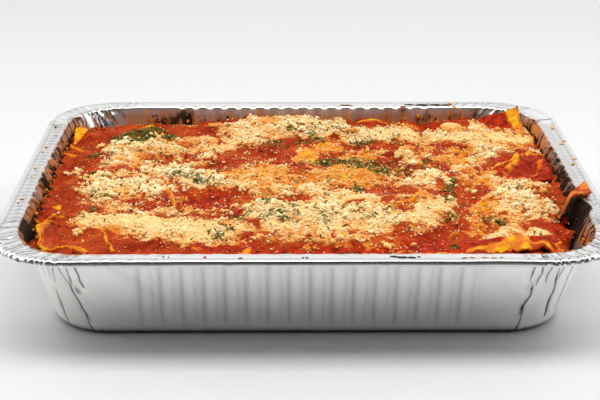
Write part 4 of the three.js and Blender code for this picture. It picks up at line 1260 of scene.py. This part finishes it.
def thick(x, y):
    clumped = 0.35 + 0.65 * ramp(knobs(x, y, 4, 103), -0.6, 0.4)
    return (cheese_at(x, y) ** 1.3) * clumped * stands_out(x, y)


def coarse_here(x, y):
    return 0.02 * cheese_at(x, y) + cover(x, y, COARSE, ragged=0.8, seed=101) ** 1.5 * stands_out(x, y)


def thin(x, y):
    return 0.06 + np.maximum(0.94 * cheese_at(x, y) * stands_out(x, y), 0.7 * melt_at(x, y))


def browned(x, y):
    return melt_at(x, y) ** 1.5 * (1 - 0.75 * cheese_at(x, y)) + 0.05 * cheese_at(x, y)


# each cheese: how many lumps, where, how finely each is cut, from what size to what, and how deep it lies
CHEESES = [
    ("coarse_cheese", 1600, coarse_here, 2, (1.3, 4.0), 0.3),
    ("grated_cheese", 9000, thick, 1, (0.7, 2.0), 0.25),
    ("fine_cheese", 9500, thin, 1, (0.4, 1.1), 0.3),
    ("melted_cheese", 6500, browned, 1, (0.5, 1.7), 0.35),
]
CHEESE_TONES = [
    (0.15, (0.82, 0.28, 0.035)),
    (0.4, (0.93, 0.52, 0.13)),
    (0.65, (0.97, 0.68, 0.3)),
    (1.0, (0.99, 0.83, 0.5)),
]
cheese_skin = toned("grated_hard_cheese", CHEESE_TONES, grain=700.0, cloud=0.5, rough=0.55, sheen=0.12)
for name, count, weigh, detail, size, depth in CHEESES:
    shapes, faces = lumps(draw, 8, detail)
    places = strew(draw, count, weigh)
    sizes = size[0] + (size[1] - size[0]) * draw.uniform(0, 1, (count, 1)) ** 1.8
    sizes = sizes * draw.uniform(0.55, 1.3, (count, 3))
    places[:, 2] += sizes[:, 2] * (0.5 - depth)
    x, y = places[:, 0], places[:, 1]
    tone = 0.29 + 0.49 * cheese_at(x, y) - 0.4 * melt_at(x, y)
    tone += 0.25 * knobs(x, y, 6, 105) + draw.uniform(-0.18, 0.22, count)
    if name == "melted_cheese":
        tone += 0.12 + 0.2 * knobs(x, y, 3, 106)
    tone = np.clip(tone, 0, 1)
    piece = scatter(name, shapes, faces, places, sizes, turned(draw, count, 40), draw, tone)
    piece.data.materials.append(cheese_skin)

# dried herbs: thin curled flakes
HERB_TONES = [(0.0, (0.035, 0.03, 0.005)), (0.4, (0.12, 0.115, 0.013)), (1.0, (0.37, 0.31, 0.06))]
herb_skin = toned("dried_herbs", HERB_TONES, grain=0, rough=0.7, sheen=0.08)
HERBS, LEAF_HALF = 4400, 0.06
ring = np.array([(-0.5, -0.12), (0, -0.3), (0.5, 0.0), (0.1, 0.3)])
curl = 0.25 * ring[:, 0] ** 2 * 4 * 0.3
shapes = []
for k in range(6):
    edge = ring * draw.uniform(0.7, 1.25, (4, 2))
    bend = curl * draw.uniform(-1, 1.5)
    sides = [np.column_stack([edge, bend + side]) for side in (-LEAF_HALF, LEAF_HALF)]
    shapes.append(np.concatenate(sides))
faces = np.array([(0, 3, 2, 1), (4, 5, 6, 7), (0, 1, 5, 4), (1, 2, 6, 5), (2, 3, 7, 6), (3, 0, 4, 7)])


def herbs_here(x, y):
    heaps = cover(x, y, HERB_HEAPS, ragged=0.6, seed=66) + 0.5 * back_heap(x, y)
    return np.clip(0.006 + 0.022 * cheese_at(x, y) * stands_out(x, y) + 0.7 * heaps**1.2, 0, 1)


places = strew(draw, HERBS, herbs_here)
long = 0.9 + 2.2 * draw.uniform(0, 1, (HERBS, 1)) ** 1.4
sizes = long * np.column_stack([np.ones(HERBS), draw.uniform(0.35, 0.9, HERBS), np.ones(HERBS)])
places[:, 2] += 0.4 + draw.uniform(0, 1.1, HERBS) * cheese_at(places[:, 0], places[:, 1])
tone = draw.uniform(0, 1, HERBS)
flakes = scatter("herb_flakes", np.array(shapes), faces, places, sizes, turned(draw, HERBS, 35), draw, tone)
flakes.data.materials.append(herb_skin)

# bits of sauce, cheese and pasta that baked on to the foil along the food's edge: where each stretch starts
# and ends, how many bits it has, how high they reach, and their tone from burnt to pale
BITS_FOOT = 44.8
EDGE_BITS = [
    ((-147.5, -58), (-148.5, 76), 260, 49.5, 0.48),
    ((-148, -62), (-140, -88), 30, 48.5, 0.3),
    ((149, -34), (149, 68), 240, 50.5, 0.36),
    ((146, -86), (148, -40), 8, 46, 0.12),
    ((-104, 118), (-48, 118), 110, 49.5, 0.3),
    ((-48, 118), (40, 118), 30, 48.5, 0.4),
    ((60, 118), (118, 117), 60, 49.5, 0.42),
    ((-146, 76), (-128, 112), 24, 47.5, 0.4),
    ((128, 112), (147, 72), 40, 49, 0.5),
]
bits_draw = np.random.default_rng(47)
spots, tones = [], []
for start, end, count, reach, mean in EDGE_BITS:
    share = bits_draw.uniform(0, 1, count)
    clump = share + 0.03 * np.round(4 * hills(share * 60, 0, 5, 55)) / 4
    level = BITS_FOOT + (reach - BITS_FOOT) * bits_draw.uniform(0, 1, count) ** 2.2
    x = start[0] + (end[0] - start[0]) * clump
    y = start[1] + (end[1] - start[1]) * clump
    lean = (level - 46) * 0.28 - bits_draw.uniform(0, 1.8, count)
    spots.append(np.column_stack([x + np.sign(x) * lean * (np.abs(x) > 125), y + lean * (y > 105), level]))
    tones.append(np.clip(mean + 0.35 * hills(share * 90, 0, 3, 56) + bits_draw.normal(0, 0.2, count), 0, 1))
places, tone = np.concatenate(spots), np.concatenate(tones)
BIT_TONES = [
    (0.0, (0.02, 0.008, 0.004)),
    (0.3, (0.13, 0.03, 0.01)),
    (0.5, (0.5, 0.09, 0.012)),
    (0.7, (0.85, 0.28, 0.02)),
    (0.86, (0.9, 0.42, 0.03)),
    (1.0, (0.92, 0.6, 0.24)),
]
shapes, faces = lumps(bits_draw, 8, 2)
count = len(places)
sizes = 0.6 + 1.5 * bits_draw.uniform(0, 1, (count, 1)) ** 2
sizes = sizes * bits_draw.uniform(0.5, 1.4, (count, 3))
turns = turned(bits_draw, count, 40)
crumbs = scatter("baked_bits", shapes, faces, places, sizes, turns, bits_draw, tone)
crumbs.data.materials.append(toned("baked_bits", BIT_TONES))

# crumbs and smears on the rim, where sauce and cheese were dropped: the middle of each, its length, width
# and turn in degrees, and its tone from dark herb to pale cheese
RIM_SPOTS = [
    (-155.9, 78, 2.2, 1.4, 30, 0.55), (-155.7, 38.5, 2.4, 1.8, 60, 0.75),
    (-156.4, 29.4, 1.4, 1.4, 0, 0.7), (-155.7, 1.4, 2.6, 1.8, 80, 0.75),
    (-155.4, -13.6, 1.6, 1.2, 0, 0.7), (-154.6, -48, 2.2, 1.6, 0, 0.75), (-155.7, -54, 1.3, 1.2, 0, 0.6),
    (-153, 60, 1.0, 0.9, 0, 0.6), (156.3, 74, 3.0, 3.4, 20, 0.75), (156.4, 43, 3.8, 2.4, 40, 0.7),
    (159.1, 48.6, 2.0, 1.4, 0, 0.75), (159.2, 15.8, 3.4, 2.2, 60, 0.75), (156.3, 7.1, 2.2, 1.8, 0, 0.7),
    (70.5, 123, 8, 1.3, 0, 0.1), (78.5, 122.6, 9, 1.6, 2, 0.05), (87.5, 122.7, 10, 1.6, -1, 0.08),
    (94.5, 122.4, 7, 1.4, 3, 0.12), (66, 118.6, 5, 1.2, 10, 0.45), (97.7, 124.9, 3.6, 2.6, 0, 0.6),
    (96, 121.5, 2.6, 1.6, 20, 0.45), (99.8, 115.8, 4.0, 2.4, 0, 0.62), (29.6, 121.7, 5.5, 1.6, 0, 0.4),
    (26, 122.2, 2.4, 1.2, 0, 0.45), (-50.7, -127.6, 1.5, 1.4, 0, 0.45),
    (-33.2, -128.9, 2.4, 1.6, 10, 0.5), (-71.3, -126.9, 1.3, 1.0, 0, 0.35),
    (-68.6, -127.3, 0.8, 0.7, 0, 0.35), (-2.6, -128.3, 1.6, 0.7, 30, 0.12),
    (-0.6, -128.5, 2.0, 0.7, -20, 0.15), (42.4, -127.2, 4.4, 1.2, -4, 0.1),
    (46.4, -128.3, 5.0, 1.5, 2, 0.06), (51.0, -128.4, 4.6, 1.4, -6, 0.1),
    (54.2, -127.6, 2.0, 0.8, 20, 0.15), (76.8, -129.0, 3.4, 0.6, 10, 0.5),
    (80.6, -128.6, 3.0, 0.5, -14, 0.55), (86.5, -128.8, 4.0, 0.6, 6, 0.5),
    (91.0, -129.0, 3.0, 0.5, -8, 0.5), (94.8, -128.6, 2.0, 0.7, 10, 0.55),
]
spots = np.array(RIM_SPOTS)
SPOT_TONES = [
    (0.0, (0.03, 0.03, 0.018)),
    (0.25, (0.06, 0.055, 0.025)),
    (0.45, (0.4, 0.1, 0.02)),
    (0.7, (0.75, 0.38, 0.12)),
    (1.0, (0.85, 0.62, 0.34)),
]
shapes, faces = lumps(draw, 8, 2)
turns = turns_about(2, np.radians(spots[:, 4]))
thickness = 0.5 + 0.25 * np.minimum(spots[:, 2], spots[:, 3])
sizes = np.column_stack([spots[:, 2], spots[:, 3], thickness]) * 1.1
places = np.column_stack([spots[:, :2], np.full(len(spots), FLANGE_TOP + 0.1)])
crumbs = scatter("rim_crumbs", shapes, faces, places, sizes, turns, draw, spots[:, 5])
crumbs.data.materials.append(toned("rim_spots", SPOT_TONES, rough=0.6))

# ---- the floor and the light ----
# A plain pale sheet, satin enough for a soft reflection. A long soft box hangs overhead, and the room is
# bright behind and at the sides and dim in front.
FLOOR_SIZE, FLOOR_COLOUR, FLOOR_ROUGH = 6, (0.74, 0.74, 0.74, 1), 0.5
LIGHT_LONG, LIGHT_DEEP, LIGHT_PLACE, LIGHT_POWER = 2.0, 0.55, (0, -0.09, 1.3), 16.1
FRONT_GLOW, BACK_GLOW, CEILING_GLOW, SIDE_GLOW = 0.04, 0.91, 0.6, 1.5
bpy.ops.object.select_all(action="DESELECT")
bpy.ops.mesh.primitive_plane_add(size=FLOOR_SIZE)
floor = bpy.context.object
floor.name = "floor"
pale, shader, node = paint("pale_floor")
node(shader, {"Base Color": FLOOR_COLOUR, "Roughness": FLOOR_ROUGH})
floor.data.materials.append(pale)

box_light = bpy.data.lights.new("soft_box", "AREA")
box_light.shape = "RECTANGLE"
box_light.size, box_light.size_y = LIGHT_LONG, LIGHT_DEEP
box_light.energy = LIGHT_POWER
soft_box = bpy.data.objects.new("soft_box", box_light)
soft_box.location = LIGHT_PLACE
bpy.context.collection.objects.link(soft_box)

room = bpy.data.worlds.new("room")
room.use_nodes = True
bpy.context.scene.world = room
node = nodes_in(room.node_tree)
way = node("SeparateXYZ", {0: node("TexCoord").outputs["Generated"]}).outputs
depth = spread(node, way["Y"], -0.5, 0.02, FRONT_GLOW, BACK_GLOW)
ceiling = spread(node, way["Z"], 0.55, 0.8, 1.0, CEILING_GLOW)
sides = node("Math", {0: times(node, way["X"], way["X"]), 1: SIDE_GLOW, 2: 1.0}, operation="MULTIPLY_ADD")
lit = times(node, times(node, depth, ceiling), sides.outputs[0])
node(room.node_tree.nodes["Background"], {"Color": (1, 1, 1, 1), "Strength": lit})
